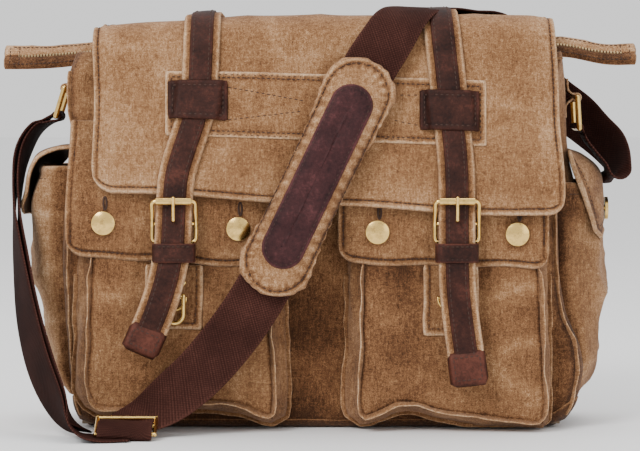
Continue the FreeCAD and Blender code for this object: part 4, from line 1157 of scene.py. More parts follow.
def patch(name, corners, layer, material, slot, bow, margin, columns, rows, tone):
    """Four-cornered patch on the front with a stitched border; corners run round from the low left.

    bow gives how much further out the patch is at shares u across and v up.
    """
    (x0, z0), (x1, z1), (x2, z2), (x3, z3) = corners
    inner, outer = layer

    def spot(u, v):
        x = (x0 * (1 - u) + x1 * u) * (1 - v) + (x3 * (1 - u) + x2 * u) * v
        z = (z0 * (1 - u) + z1 * u) * (1 - v) + (z3 * (1 - u) + z2 * u) * v
        return x, FLAP.s_of(z), bow(u, v)

    u, v = np.linspace(0, 1, columns)[None], np.linspace(0, 1, rows)[:, None]
    x, s, extra = spot(u, v)
    width, height = abs(x1 - x0), abs(z3 - z0)
    edge = np.minimum(np.minimum(u, 1 - u) * width, np.minimum(v, 1 - v) * height)
    groove = 0.3 * bell(edge, 1, 1.0) - 0.3 * bell(edge, margin, 0.8)
    top, low = on_flap(x, s, outer + extra + groove), on_flap(x, s, inner + extra)
    # pale rubbed rim, and painted shade in the groove along the stitches
    tones = tone * smooth(2.2, 0.4, edge) - 0.5 * bell(edge, margin, 0.8) + 0.2 * noise(top, 8, 75)
    obj = place(skin(name, top, low, material, tones, tone), "main_flap", slot)

    def along(u, v):
        x, s, extra = spot(u, v)
        a, b = on_flap(x, s, outer + extra - 0.2), on_flap(x, s, outer + extra + 2)
        return a, b - a

    mu, mv, t = margin / width, margin / height, np.linspace(0, 1, 24)
    sides = [
        (mu + (1 - 2 * mu) * t, 0 * t + mv),
        (0 * t + 1 - mu, mv + (1 - 2 * mv) * t),
        (1 - mu - (1 - 2 * mu) * t, 0 * t + 1 - mv),
        (0 * t + mu, 1 - mv - (1 - 2 * mv) * t),
    ]
    sew(name + "_stitches", [along(*e) for e in sides], "main_flap", slot, (2.6, 3.6, 0.48))
    return obj


def build_loops():
    layer = (LOOP_INNER, LOOP_OUTER + 0.2)
    for side, (x, z) in LOOP_PATCHES.items():

        def bow(u, v, side=side, x=x, z=z):
            px, pz = x + 42 * (u - 0.5), z + 26 * (v - 0.5)
            return -3.9 * smooth(14, 19.5, np.abs(px - strap_x(side, FLAP.s_of(pz))))

        corners = [(x - 21, z - 12.5), (x + 21, z - 14), (x + 21, z + 12.5), (x - 21, z + 13.5)]
        obj = patch(f"{side}_strap_loop", corners, layer, LEATHER, "leather", bow, 2.8, 40, 16, 0.15)
        if side == "left":
            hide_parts("strap_loops")


BAND_CORNERS = [(-112, 216), (119, 208), (119, 252), (-112, 261)]
# Quilting lines on the band, from (x, z) to (x, z)
QUILTING = [
    ((-68, 249), (-12, 239)),
    ((-68, 226), (-14, 232)),
    ((56, 243), (71, 243)),
    ((52, 226), (71, 222)),
    ((-75, 258), (0, 255)),
    ((-81, 216), (-23, 214)),
    ((45, 213), (71, 211)),
]


def build_band():
    layer = (FLAP_OUTER - 0.3, BAND_OUTER + 0.2)

    def bow(u, v):
        return 0 * u * v

    obj = patch("cross_band_cloth", BAND_CORNERS, layer, CANVAS, "canvas", bow, 3.6, 110, 24, 1.1)
    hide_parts("cross_band")
    runs, t = [], np.linspace(0, 1, 20)
    for a, b in QUILTING:
        x, z = a[0] + (b[0] - a[0]) * t, a[1] + (b[1] - a[1]) * t
        p, q = on_flap(x, FLAP.s_of(z), BAND_OUTER + 0.1), on_flap(x, FLAP.s_of(z), BAND_OUTER + 3)
        runs.append((p, q - p))
    sew("cross_band_quilting", runs, "main_flap", size=(3.2, 4.0, 0.45))


# Keepers and buckle tabs: leather bent round lines of points ---------------------------------------


def on_front(z, d):
    y, height = FLAP.at(float(FLAP.s_of(z)), d)
    return float(y), float(height)


# Section of a leather band: shares of its half width, half thickness and edge tone at each point
BAND_SECTION = [
    (-1, 0.15, 1), (-0.97, 0.8, 1), (-0.8, 1, 0.4), (0, 1.05, -0.1), (0.8, 1, 0.4), (0.97, 0.8, 1),
    (1, 0.15, 1), (0.97, -0.8, 1), (0.8, -1, 0), (0, -1, 0), (-0.8, -1, 0), (-0.97, -0.8, 1),
]


def band_ring(name, loop, width_dir, half, thick, material, closed=False, tone=0.4):
    """Band of a given width bent along a loop of points, with rounded edges."""
    p = np.asarray(loop, float)
    w = unit(np.broadcast_to(width_dir, p.shape))
    out = unit(np.cross(direction(p, closed), w))
    grid = np.stack([p + w * half * a + out * (thick / 2 * d) for a, d, _ in BAND_SECTION], 1)
    if closed:
        grid = np.concatenate([grid, grid[:1]], 0)
    shade = tone * np.array([edge for *_, edge in BAND_SECTION])[None] + 0.15 * noise(grid, 8, 80)
    return loft(name, grid, material, shade, cap_start=not closed, cap_end=not closed)


def rounded(points, reach):
    """Closed path through points (3-D) with its corners rounded over `reach` of each side."""
    p = np.asarray(points, float)
    t = np.linspace(0, 1, 7)[:, None]
    path = []
    for a, c, b in zip(np.roll(p, 1, axis=0), p, np.roll(p, -1, axis=0)):
        start, end = c + unit(a - c) * reach, c + unit(b - c) * reach
        path.append(start * (1 - t) ** 2 + c * 2 * t * (1 - t) + end * t**2)
    return np.vstack(path)


def tube(name, path, radius, closed):
    """Round brass rod along a path that faces the front."""
    run = direction(path, closed)
    across = unit(np.cross(run, np.array([0, -1.0, 0.25])))
    up = unit(np.cross(across, run))
    a = np.linspace(0, 2 * math.pi, 15)[None, :-1, None]
    rings = path[:, None] + radius * (across[:, None] * np.cos(a) + up[:, None] * np.sin(a))
    if closed:
        rings = np.concatenate([rings, rings[:1]], 0)
    return loft(name, rings, BRASS, cap_start=not closed, cap_end=not closed)


def build_buckle(side):
    """Wire frame with rounded corners, cranked at its middle bar, and that bar."""

    def corner(dx, bar):
        return (BUCKLE_X[side] + dx, *on_front(*bar))

    left, right = -BUCKLE_HALF, BUCKLE_HALF
    bars = [corner(left, ROLLER_BAR), corner(right, ROLLER_BAR), corner(right, PRONG_BAR)]
    bars += [corner(right, END_BAR), corner(left, END_BAR), corner(left, PRONG_BAR)]
    obj = tube(f"{side}_buckle_frame", rounded(bars, 3.6), BUCKLE_WIRE, True)
    place(obj, "main_flap", "brass", shared(side, "buckle_frames"))
    middle = np.linspace(corner(left + 0.4, PRONG_BAR), corner(right - 0.4, PRONG_BAR), 12)
    place(tube(f"{side}_buckle_bar", middle, BUCKLE_WIRE - 0.02, False), "main_flap", "brass")


def build_keeper(side):
    """Leather ring round the strap and the tab, arched a little in front."""
    half = 15.0
    (y_out, z_mid), (y_in, _) = on_front(KEEPER_Z, KEEPER_OUT), on_front(KEEPER_Z, KEEPER_IN)
    t = np.linspace(0, 2 * math.pi, 49)[:-1]
    sx = np.sign(np.cos(t)) * np.abs(np.cos(t)) ** 0.45 * half
    sy = np.sign(np.sin(t)) * np.abs(np.sin(t)) ** 0.45
    middle, reach = (y_out + y_in) / 2, (y_in - y_out) / 2
    arch = 1.1 * (1 - (sx / half) ** 2) * (sy > 0)
    loop = stack(BUCKLE_X[side] + sx, middle - sy * reach - arch * 0.8, z_mid)
    obj = band_ring(f"{side}_keeper_band", loop, (0, 0.1, 1), 6.9, 1.3, LEATHER, closed=True, tone=0.75)
    place(obj, "main_flap", "leather", shared(side, "keepers"))
    for name, dz in (("low", -4.6), ("high", 4.6)):
        run = facing_front(loop[sy > 0.9] + np.array([0, -0.9, dz]))
        sew(f"{side}_keeper_stitches_{name}", [run], "main_flap", "leather", (2.4, 3.4, 0.42))


def build_buckle_tab(side):
    """Leather strip folded over the buckle's middle bar, behind the strap, with the hook in its low fold."""
    x = float(BUCKLE_X[side])
    bar_y, bar_z = on_front(*PRONG_BAR)
    line = [
        (x, HOOK_EYE_Y + 2.1, HOOK_EYE_Z + 3),
        (x, HOOK_EYE_Y + 2.3, (HOOK_EYE_Z + 3) * 0.5 + (bar_z - 5) * 0.5),
        (x, bar_y + 2.6, bar_z - 5),
        (x, bar_y + 2.2, bar_z - 1),
        (x, bar_y + 0.8, bar_z + 2.3),
        (x, bar_y - 1.6, bar_z + 2.0),
        (x, bar_y - 2.4, bar_z - 0.6),
    ]
    p = spline(line, 6)
    narrow = 3.2 + 8.0 * smooth(112, 126, p[:, 2])
    obj = band_ring(f"{side}_buckle_tab_leather", p, (1, 0, 0), narrow[:, None], 1.2, LEATHER)
    place(obj, "main_flap", "leather", shared(side, "buckle_tabs"))
    a = np.linspace(math.radians(-80), math.radians(200), 22)
    loop = stack(x, HOOK_EYE_Y + 2.2 * np.sin(a + 0.9), HOOK_EYE_Z + 2.2 * np.cos(a + 0.9))
    place(band_ring(f"{side}_buckle_tab_fold", loop, (1, 0, 0), 3.2, 1.1, LEATHER), "main_flap", "leather")


# Pockets -------------------------------------------------------------------------------------------

CLIP_X = {"left": -107.0, "right": 94.0}
# Each pocket's left and right edges by height, its low edge by x, where its gusset meets the bag, the x
# and amount of a dark stretch, its clip patch's low edge and half width, and its ridge's seed
POCKETS = {
    "left": {
        "left": ([10, 30, 70, 110, 166], [-166, -170, -168.5, -167.5, -167]),
        "right": ([10, 30, 70, 110, 166], [-35, -34.5, -37, -38.5, -39]),
        "low": ([-170, -150, -120, -90, -60, -44, -34], [21, 17.5, 20.5, 23, 21, 14, 10]),
        "back": (-181, -23.5),
        "dark": (0, 0.0),
        "patch": (76.0, 20.0),
        "seed": 100,
    },
    "right": {
        "left": ([6, 30, 70, 110, 166], [29.5, 28, 30, 30.5, 31]),
        "right": ([6, 30, 70, 110, 166], [161, 163, 160.5, 158, 157]),
        "low": ([28, 40, 60, 88, 115, 140, 163], [8.5, 14, 22.5, 15, 12, 9, 6.5]),
        "back": (10.5, 167),
        "dark": (62, 0.35),
        "patch": (71.0, 19.0),
        "seed": 110,
    },
}


def pocket_point(side, u, v):
    """Point of the pocket's front at shares u across and v down."""
    spec = POCKETS[side]
    guess = POCKET_TOP + (POCKET_BOTTOM - POCKET_TOP) * v
    wander = stack(0, 0, guess)
    x0 = curve(guess, *spec["left"]) + 1.8 * noise(wander, 17, 96)
    x1 = curve(guess, *spec["right"]) + 1.8 * noise(wander, 17, 97)
    x = x0 + (x1 - x0) * u
    low = curve(x, *spec["low"]) + 1.2 * noise(stack(x, 0, 0), 14, 98)
    z = POCKET_TOP + (low - POCKET_TOP) * v
    y, _ = POCKET.at(POCKET.s_of(z), POCKET_THICK)
    puff = 2.2 * (1 - (2 * u - 1) ** 6) * smooth(1.0, 0.86, v) * smooth(0, 0.3, v)
    q = stack(x, y, z)
    wrinkle = noise(q, 55, 90) + 1.5 * (folds(q * np.array([1, 1, 0.5]), 42, 91) - 0.35)
    wrinkle = wrinkle + 0.3 * noise(q, 11, 92)
    pulled = 1.6 * (folds(q * np.array([1.3, 1, 0.35]), 17, 93) - 0.3) * smooth(50, 22, z)
    fade = smooth(0, 0.06, u) * smooth(1, 0.94, u) * smooth(1, 0.95, v) * smooth(0.0, 0.28, v)
    quiet = 1 - 0.9 * np.exp(-(((x - CLIP_X[side]) / 24) ** 4)) * smooth(58, 74, z)
    return stack(x, y - (puff + (wrinkle + pulled) * fade) * quiet, z)


def build_pocket(side):
    spec = POCKETS[side]
    u, v = graded(135, 2.2, 6)[None], graded(152, 2.4, 6)[:, None]
    front = pocket_point(side, u, v)
    n = grid_normals(front, (0, -1, 0))
    edge = np.minimum(np.minimum(u, 1 - u) * 130, (1 - v) * 150)
    # Painted shade: a dark line along the front's border beside its raised ridge, and a darker top under and
    # just below the pocket flap.
    tone = -1.0 * smooth(3.6, 0.5, edge) + 0.5 * (folds(front, 34, 94) - 0.35) + 0.3 * noise(front, 26, 95)
    tone = tone - 0.15 - 0.3 * smooth(105, 118, front[..., 2])
    dark_x, dark = spec["dark"]
    tone = tone - dark * bell(front[..., 0], dark_x, 26)
    obj = skin(f"{side}_pocket_panel", front, front - n * 2.0, [CANVAS, LINING], tone, -0.3)
    place(obj, "bag", "canvas", [f"{side}_pocket_front"])
    flap_low = POCKET_FLAPS[side][0]

    def under_flap(p):
        """The ridges die away where the pocket's flap lies on them."""
        low = curve(p[:, 0], [q[0] for q in flap_low], [q[1] for q in flap_low])
        return smooth(low + 2, low - 5, p[:, 2])

    # border of the front, down the left, along the bottom and up the right
    t = np.linspace(0, 1, 90)
    left, low = pocket_point(side, 0 * t, t), pocket_point(side, t, 0 * t + 1)
    border = np.vstack([left[:-1], low[:-1], pocket_point(side, 0 * t + 1, 1 - t)])
    out = np.repeat([[-1.0, 0, 0], [0, 0, -1.0], [1.0, 0, 0]], [89, 89, 90], axis=0)
    for _ in range(14):
        out[1:-1] = (out[:-2] + out[1:-1] + out[2:]) / 3
        border[1:-1] = (border[:-2] + 2 * border[1:-1] + border[2:]) / 4
    border, where = walk(border, 4.0)
    out = unit(sampled(out, where))
    toward = unit(out * 0.4 + np.array([0, -1.0, 0]))
    ridge = border - toward * 0.6
    obj = fin(f"{side}_pocket_ridge", ridge, toward, 5.0, 1.4, 1.9, spec["seed"], under_flap)
    place(obj, "bag", "canvas")
    # gusset from the border back to the bag's front, flaring out
    b0, b1 = spec["back"]
    wall = border.copy()
    wall[:, 0] = np.clip(border[:, 0] + out[:, 0] * 12, b0, b1)
    wall[:, 2] = np.maximum(border[:, 2] + out[:, 2] * 9, 1.5)
    wall[:, 1] = -54.0
    rows = []
    for t in np.linspace(0, 1, 12):
        p = border * (1 - t) + wall * t
        bow = math.sin(math.pi * t)
        crease = 3.0 * (folds(p * np.array([1, 1.6, 0.8]), 24, 120) - 0.4) + 0.8 * noise(p, 10, 121)
        rows.append(p + out * (bow * (1.2 + crease))[:, None])
    grid = np.stack(rows, 1)
    grid[..., 2] = np.maximum(grid[..., 2], 0.8)
    n = grid_normals(grid)
    if (n * out[:, None]).sum() < 0:
        n = -n
    # painted shade on the gusset, deepest next to the pocket's front
    tone = -0.08 + 0.5 * (folds(grid, 20, 122) - 0.3) - 0.5 * np.exp(-np.linspace(0, 4, 12))[None]
    obj = skin(f"{side}_pocket_side", grid, grid - n * 1.8, [CANVAS, LINING], tone, -0.3)
    place(obj, "bag", "canvas", [f"{side}_pocket_gusset"])
    back = grid[:, -2] + np.array([0, -1.0, 0])
    below = smooth(118, 108, back[:, 2]) > 0.01
    line = back[below]
    line[:, 2] = np.maximum(line[:, 2], 4.2)
    lean = unit(out[below] + np.array([0, -0.35, 0]))
    seam = fin(f"{side}_pocket_back_seam", line, lean, 2.4, 1.3, 1.0, 115, wear_and_shade=0.6)
    place(seam, "bag", "canvas")
    build_clip_patch(side)


def build_clip_patch(side):
    """Canvas tongue down the pocket behind the strap's tail, and the leather loop of the clip ring."""
    c, spec, top_z, margin = CLIP_X[side], POCKETS[side], 121, 3.6
    low, half = spec["patch"]
    u, v = np.linspace(-1, 1, 22)[None], np.linspace(0, 1, 26)[:, None]
    x, z = c + half * u, top_z + (low - top_z) * v + 0 * u
    left, right = curve(z, *spec["left"]), curve(z, *spec["right"])
    down = (POCKET_TOP - z) / (POCKET_TOP - curve(x, *spec["low"]))
    base = pocket_point(side, (x - left) / (right - left), down)
    edge = np.minimum((1 - np.abs(u)) * half, (1 - v) * (top_z - low))
    hem = 0.7 * bell(edge, 1.2, 1.2) - 0.4 * bell(edge, margin, 0.9)
    top = base - stack(0 * x, 1.7 + hem, 0 * x)
    # pale rubbed rim, and painted shade in the groove along the stitches
    tone = 1.0 * smooth(2.4, 0.5, edge) - 0.7 * bell(edge, margin, 0.9) + 0.2 * noise(top, 9, 125)
    obj = skin(f"{side}_clip_patch_cloth", top, base + np.array([0, 0.3, 0]), CANVAS, tone, 1.0)
    place(obj, "bag", "canvas", shared(side, "clip_patches"))
    runs = [facing_front(p) for p in (top[:, 2], top[:, -3], top[-3, 2:-2])]
    sew(f"{side}_clip_patch_stitches", runs, "bag", size=(2.8, 4.0, 0.38))
    angles = np.linspace(math.radians(-150), math.radians(90), 20)[:12]
    line = [(c, CLIP_RING_Y - 0.1 - 1.75 * math.sin(a), CLIP_RING_Z + 1.75 * math.cos(a)) for a in angles]
    line += [(c, CLIP_RING_Y - 1.3 + 0.25 * k, CLIP_RING_Z + 3 + 2.2 * k) for k in range(5)]
    obj = band_ring(f"{side}_clip_ring_loop", spline(line, 3), (1, 0, 0), 5.4, 1.0, LEATHER)
    place(obj, "bag", "leather", shared(side, "clip_ring_tabs"))


POCKET_FLAPS = {
    "left": ([(-185, 131), (-168, 127.5), (-120, 126), (-70, 122), (-32, 121)], -185.5, -31.5, 12.0),
    "right": ([(12, 124.5), (60, 122), (110, 121.5), (166, 119.5)], 12.5, 165.5, 12.0),
}


def build_pocket_flap(side):
    lows, x0, x1, radius = POCKET_FLAPS[side]
    u, v = graded(153, 2.2), graded(105, 2.2)
    xs, zs = [p[0] for p in lows], [p[1] for p in lows]
    x_flat = x0 + (x1 - x0) * u
    low = curve(x_flat, xs, zs) + 0.7 * np.sin(x_flat / 9.5)
    s0 = 1.0
    s_end = POCKET_FLAP.s_of(round_low_corners(low, x_flat, (x0, x1), (radius, radius)))
    s = s0 + (s_end[None] - s0) * v[:, None]
    _, z = POCKET_FLAP.at(s, 0)
    x = x_flat[None] + 0 * s
    centre = (x0 + x1) / 2

    def narrowed(x, z):
        """The flap is a little narrower toward its top."""
        return centre + (x - centre) * (1 - 0.05 * smooth(150, 226, z))

    x = narrowed(x, z)
    edge = np.minimum(np.minimum(x_flat - x0, x1 - x_flat)[None] + 0 * s, (s_end[None] - s))
    q = stack(x, s, 0)
    hem = hem_height(edge) + 0.4 * np.sin(x * 0.7 + 2 * noise(q, 8, 130)) * bell(edge, 6, 5)
    near_snap = sum(np.exp(-(((x - sx) ** 2 + (z - sz) ** 2) / 14.0**2)) for sx, sz in SNAPS[side])
    near_buckle = bell(x, BUCKLE_X[side], 22)
    free = np.clip(1 - near_snap - near_buckle, 0, 1) * smooth(2, 20, s)
    sag = free * (1.5 * noise(q, 46, 131) + 1.3 * (folds(q, 30, 132) - 0.4) + 0.35 * noise(q, 12, 133))
    dent = -0.6 * near_snap
    y1, z1 = POCKET_FLAP.at(s, POCKET_FLAP_THICK + hem + sag + dent)
    y0, z0 = POCKET_FLAP.at(s, sag * 0.6)
    top, low_side = stack(x, y1, z1), stack(x, y0, z0)
    # painted shade in the dent round each snap
    tone = hem_tone(edge) + 0.4 * (folds(top, 26, 134) - 0.35) - 0.3 * near_snap - 0.1
    body = f"{side}_pocket_flap"
    obj = skin(f"{side}_pocket_flap_cloth", top, low_side, [CANVAS, LINING], tone, 0.35)
    place(obj, body, "canvas", [f"{side}_pocket_flap"])
    margin = HEM_STITCH
    inside = (x_flat > x0 + margin + 3) & (x_flat < x1 - margin - 3)
    ya, za = POCKET_FLAP.at(s_end[inside] - margin, POCKET_FLAP_THICK - 0.1)
    runs = [facing_front(stack(x_flat[inside], ya, za))]
    yb, zb = POCKET_FLAP.at(np.linspace(24, float(s_end.max()) - 16, 40), POCKET_FLAP_THICK - 0.1)
    for x_line in (x0 + margin, x1 - margin):
        runs.append(facing_front(stack(narrowed(x_line, zb), yb, zb)))
    sew(f"{side}_pocket_flap_stitches", runs, body)
    for k, (sx, sz) in enumerate(SNAPS[side]):
        build_buttonhole(f"{side}_buttonhole_{k + 1}", sx + 1.5, sz + 14.5, body)


def build_buttonhole(name, x, z, body):
    """Worked slit: a narrow loop of close stitches with a dark gap."""
    y, _ = POCKET_FLAP.at(float(POCKET_FLAP.s_of(z)), POCKET_FLAP_THICK + 0.3)
    t = np.linspace(0, 2 * math.pi, 41)[:-1]
    loop = np.stack([x + 1.15 * np.cos(t), np.full(40, float(y)) - 0.2, z + 4.6 * np.sin(t)], 1)
    run = unit(np.roll(loop, -1, axis=0) - loop)
    out = unit(np.cross(run, [0, 1.0, 0]))[:, None]
    a = np.linspace(0, 2 * math.pi, 9)[None, :-1, None]
    rings = loop[:, None] + 0.75 * (out * np.cos(a) - np.array([0, 1.0, 0]) * np.sin(a))
    rings = np.concatenate([rings, rings[:1]], 0)
    place(loft(name, rings, THREAD), body, "canvas")


# Side pockets and their flaps ----------------------------------------------------------------------

# Each side pocket's top, its depth by height, how its depth dies away to its edges, its creases' depth and
# how much less that is near the top, the light on its front half, and the shade under its flap there
SIDE_POCKETS = {
    "left": {
        "top": 192.0,
        "depth": ([24, 34, 60, 90, 130, 170, 192], [5, 10, 19, 24.5, 29, 30, 27]),
        "power": 0.45,
        "creases": (4.8, 0.0),
        "tones": (0.55, 0.0),
    },
    "right": {
        "top": 180.0,
        "depth": ([24, 34, 60, 90, 130, 160, 180], [6, 9, 14, 19, 21, 20, 18]),
        "power": 0.6,
        "creases": (7.5, 3.0),
        "tones": (0.2, 0.8),
    },
}
SIDE_POCKET_BOTTOM = 24.0


def side_wall(side, y, z):
    """x of the body's side at that place, before its creases."""
    left, right, *_ = body_sizes(np.asarray(z, float))
    shift = corner_shift(side, y, z)
    return right + shift if side == "right" else -left - shift


def build_side_pocket(side):
    sign, spec = SIGNS[side], SIDE_POCKETS[side]
    (crease_depth, crease_loss), (light, shade) = spec["creases"], spec["tones"]
    z = np.linspace(spec["top"], SIDE_POCKET_BOTTOM, 58)
    depth = curve(z, *spec["depth"])
    t = np.linspace(-1, 1, 56)
    rows = []
    for height, d in zip(z, depth):
        half = 41 - 3.0 * float(smooth(90, 24, height))
        a = t * math.pi / 2
        y = half * np.sign(np.sin(a)) * np.abs(np.sin(a)) ** 0.9
        out = d * np.abs(np.cos(a)) ** spec["power"]
        wall = side_wall(side, y, height)
        q = stack(y, out, height)
        slant = stack(y + 0.7 * height, out, 0.8 * height - 0.55 * y)
        deep = crease_depth - crease_loss * float(smooth(120, 150, height))
        crease = deep * (folds(slant, 47, 140 + sign) - 0.4) + 2.2 * (folds(q, 25, 143 + sign) - 0.4)
        free = smooth(0, 10, out)
        rows.append(stack(wall + sign * (out + free * crease), y, height))
    grid = np.array(rows)
    n = grid_normals(grid)
    if (n[..., 0] * sign).sum() < 0:
        n = -n
    edge = spec["top"] - grid[..., 2]
    hem = 0.9 * bell(edge, 2, 2) - 0.5 * bell(edge, 6, 1.5)
    grid = grid + n * hem[..., None]
    across = np.broadcast_to(t[None], grid.shape[:2])
    tone = 0.7 * bell(edge, 0.6, 1.2) + 0.5 * (folds(grid, 26, 145) - 0.35)
    tone = tone - 0.35 * smooth(70, 24, grid[..., 2])
    # painted shade where the pocket's front and back edges meet the bag's side, painted light on its front
    # half, and painted shade under its flap
    tone = tone - 0.9 * smooth(0.88, 1.0, np.abs(across)) + light * smooth(0.2, -0.5, across)
    tone = tone - shade * smooth(-0.45, -0.9, across) * smooth(112, 140, grid[..., 2])
    obj = skin(f"{side}_side_pocket_cloth", grid, grid - n * 2.0, [CANVAS, LINING], tone, 0.8)
    place(obj, "bag", "canvas", [f"{side}_side_pocket"])
    sew(f"{side}_side_pocket_stitches", [raised(grid[3, 4:-4], n[3, 4:-4], 0.1)], "bag")


SIDE_FLAP_LINES = {
    "left": [(184.6, 207), (196, 206), (211.5, 200.5), (216.5, 188), (218.5, 172), (218.0, 157)],
    "right": [(184.6, 204), (196, 199.5), (208.3, 188.5), (211.0, 172), (211.4, 158), (210.8, 143)],
}
SIDE_FLAP_FRONTS = {
    "left": [(184.6, 206), (195, 205), (208, 199), (214.5, 187), (217, 173), (222.5, 158)],
    "right": [(182.5, 203), (185.5, 192), (190, 179), (195.5, 165), (200.5, 151), (204.5, 136)],
}


def build_side_flap(side):
    sign = SIGNS[side]
    line, fore = spline(SIDE_FLAP_LINES[side], 9), spline(SIDE_FLAP_FRONTS[side], 9)
    s = np.linspace(0, 1, len(line))
    t = np.linspace(-1, 1, 40)
    half = 38.5 - 2.5 * s
    lows = 1 - 0.10 * np.clip(np.abs(t) - 0.72, 0, 1) / 0.28
    rows = []
    for k in range(len(line)):
        share = s[k] * lows
        px, pz = np.interp(share, s, line[:, 0]), np.interp(share, s, line[:, 1])
        y = half[k] * t
        q = stack(px, y, pz)
        wave = (1.6 * noise(q, 30, 160 + sign) + 1.6 * (folds(q, 26, 161 + sign) - 0.4)) * s[k]
        ahead = np.where(t < 0, np.abs(t) ** 1.8, 0)
        px = px + (np.interp(share, s, fore[:, 0]) - px) * ahead
        pz = pz + (np.interp(share, s, fore[:, 1]) - pz) * ahead
        tuck = smooth(0.1, 0.9, s[k]) * np.where(t < 0, 0, 8.0) * np.abs(t) ** 1.8
        droop = smooth(0.0, 0.3, s[k]) * np.where(t < 0, 0, 13.0) * np.abs(t) ** 3
        rows.append(stack(sign * (px + wave * 0.6 * np.abs(t) - tuck), y, pz - 0.5 * wave - droop))
    grid = np.array(rows)
    n = grid_normals(grid)
    if (n[..., 0] * sign + n[..., 2] * 0.4).sum() < 0:
        n = -n
    length = np.linalg.norm(np.diff(line, axis=0), axis=1).sum()
    edge = np.minimum((1 - np.abs(t))[None] * half[:, None], ((1 - s) * length)[:, None] + 0 * t[None])
    hem = 0.9 * bell(edge, 1.5, 1.5) - 0.5 * bell(edge, 4.4, 1.2)
    top = grid + n * (1.1 + hem)[..., None]
    # pale rubbed rim, and painted shade in the groove along the stitches
    tone = 1.1 * bell(edge, 1.0, 1.5) - 0.9 * bell(edge, 4.6, 1.3)
    tone = tone + 0.4 * (folds(grid, 22, 163) - 0.35)
    obj = skin(f"{side}_side_flap_cloth", top, grid - n * 1.1, [CANVAS, LINING], tone, 1.0)
    body = f"{side}_side_flap"
    place(obj, body, "canvas", [f"{side}_side_flap"])
    runs = [(top[6:-3, 3], n[6:-3, 3]), (top[-6, 3:-3], n[-6, 3:-3]), (top[6:-3, -4], n[6:-3, -4])]
    sew(f"{side}_side_flap_stitches", runs, body)


def build_ring_tab(side):
    """Canvas loop sewn down the gusset, folded over the ring's upper bar."""
    (ux, uz), _ = RINGS[side]
    wall = abs(float(side_wall(side, 0, uz))) + 0.4
    r = RING_WIRE + 1.0
    bar = abs(ux)
    pts = [(wall + 0.6, uz - 15), (wall + 0.8, uz - 6), (bar - r - 0.2, uz - 1)]
    turns = np.radians([200, 250, 300, 350, 40, 90, 130])
    pts += [(bar + r * math.cos(a), uz + r * math.sin(a)) for a in turns]
    pts += [(wall + 2.4, uz + 5.5), (wall + 1.6, uz + 14)]
    p = spline([(SIGNS[side] * x, 0, z) for x, z in pts], 5)
    obj = band_ring(f"{side}_ring_tab_cloth", p, (0, 1, 0), 17.2, 1.5, CANVAS, tone=0.8)
    place(obj, "bag", "canvas", shared(side, "ring_tabs"))


# Webbing -------------------------------------------------------------------------------------------


def web_piece(name, stations, per, shade=0.0):
    """Webbing through (point, outward normal) stations, kept just above the floor."""
    rows = spline([list(p) + list(unit(n)) for p, n in stations], per)
    p, n = rows[:, :3], unit(rows[:, 3:])
    run = direction(p, False)
    side = unit(np.cross(run, n))
    for _ in range(4):
        side[1:-1] = unit(side[:-2] + 2 * side[1:-1] + side[2:])
    out = unit(np.cross(side, run))
    a = np.linspace(-1, 1, 15)
    centre = p[:, None] + side[:, None] * (a[None, :, None] * WEB_HALF)
    wavy = 0.25 * noise(centre, 24, 170)
    thick = WEB_THICK / 2 * (1 - 0.25 * smooth(0.9, 1, np.abs(a)))[None]
    outer = centre + out[:, None] * (wavy + thick)[..., None]
    inner = centre + out[:, None] * (wavy - thick)[..., None]
    lift = np.maximum(0.1 - np.minimum(outer[..., 2], inner[..., 2]), 0)
    outer[..., 2] += lift
    inner[..., 2] += lift
    tone = 0.5 * smooth(0.9, 1.0, np.abs(a))[None] + 0.3 * noise(outer, 30, 171) + shade
    return skin(name, outer, inner, WEBBING, tone, 0.5)


def wrap(centre, start, end, steps):
    """Stations round a ring's bar, from one angle to another in degrees."""
    radius = RING_WIRE + 0.35 + WEB_THICK / 2
    found = []
    for k in range(steps + 1):
        a = math.radians(start + (end - start) * k / steps)
        out = (math.cos(a), 0, math.sin(a))
        found.append(((centre[0] + radius * out[0], 0, centre[1] + radius * out[2]), out))
    return found


def build_webbing():
    obj = web_piece("webbing_front", WEB_LOWER, 10)
    place(obj, None, "webbing", ["webbing_lower"], ("main_flap", "bag", (0, 0, 0.15), (0, 0, 0.03)))
    obj = web_piece("webbing_over_top", WEB_UPPER, 8, -0.25)
    place(obj, None, "webbing", ["webbing_upper"], WEB_BEND)
    obj = web_piece("webbing_right_side", WEB_SIDE + wrap(RINGS["right"][1], -20, 170, 6), 6, -0.8)
    ring_body = frame_body("right_side_ring")
    place(obj, None, "webbing", (), ("bag", ring_body, (0, 0.062, 0), (0, 0.030, 0)))
    # the left loop comes back down one gap inside itself
    back = [(tuple(np.array(p) - unit(n) * STRAND_GAP), tuple(-unit(n))) for p, n in reversed(WEB_LOOP[2:])]
    obj = web_piece("webbing_left_loop", WEB_LOOP + wrap(RINGS["left"][1], 150, -70, 8) + back, 6, -1.1)
    ring_body = frame_body("left_side_ring")
    place(obj, None, "webbing", ["webbing_loop"], ("bag", ring_body, (0, 0, 0.03), (0, 0, 0.215)))


def frame_body(node):
    """Name of the body that a CAD node rides on."""
    return NODES[node].parent.name.split("body:")[1]


# Shoulder pad --------------------------------------------------------------------------------------


def pad_frame():
    """Origin on the flap's front plane, and unit vectors along, across and out of the pad."""
    (ya, za), (yb, zb) = FLAP_LINE[2], FLAP_LINE[3]
    run = unit(np.array([0, yb - ya, zb - za], float))
    out = np.array([0, run[2], -run[1]])
    z = PAD_CENTRE[1]
    origin = np.array([PAD_CENTRE[0], ya + (yb - ya) * (za - z) / (za - zb), z])
    along = PAD_DIRECTION[0] * np.array([1.0, 0, 0]) - PAD_DIRECTION[1] * run
    along = unit(along)
    return origin, along, unit(np.cross(along, out)), out


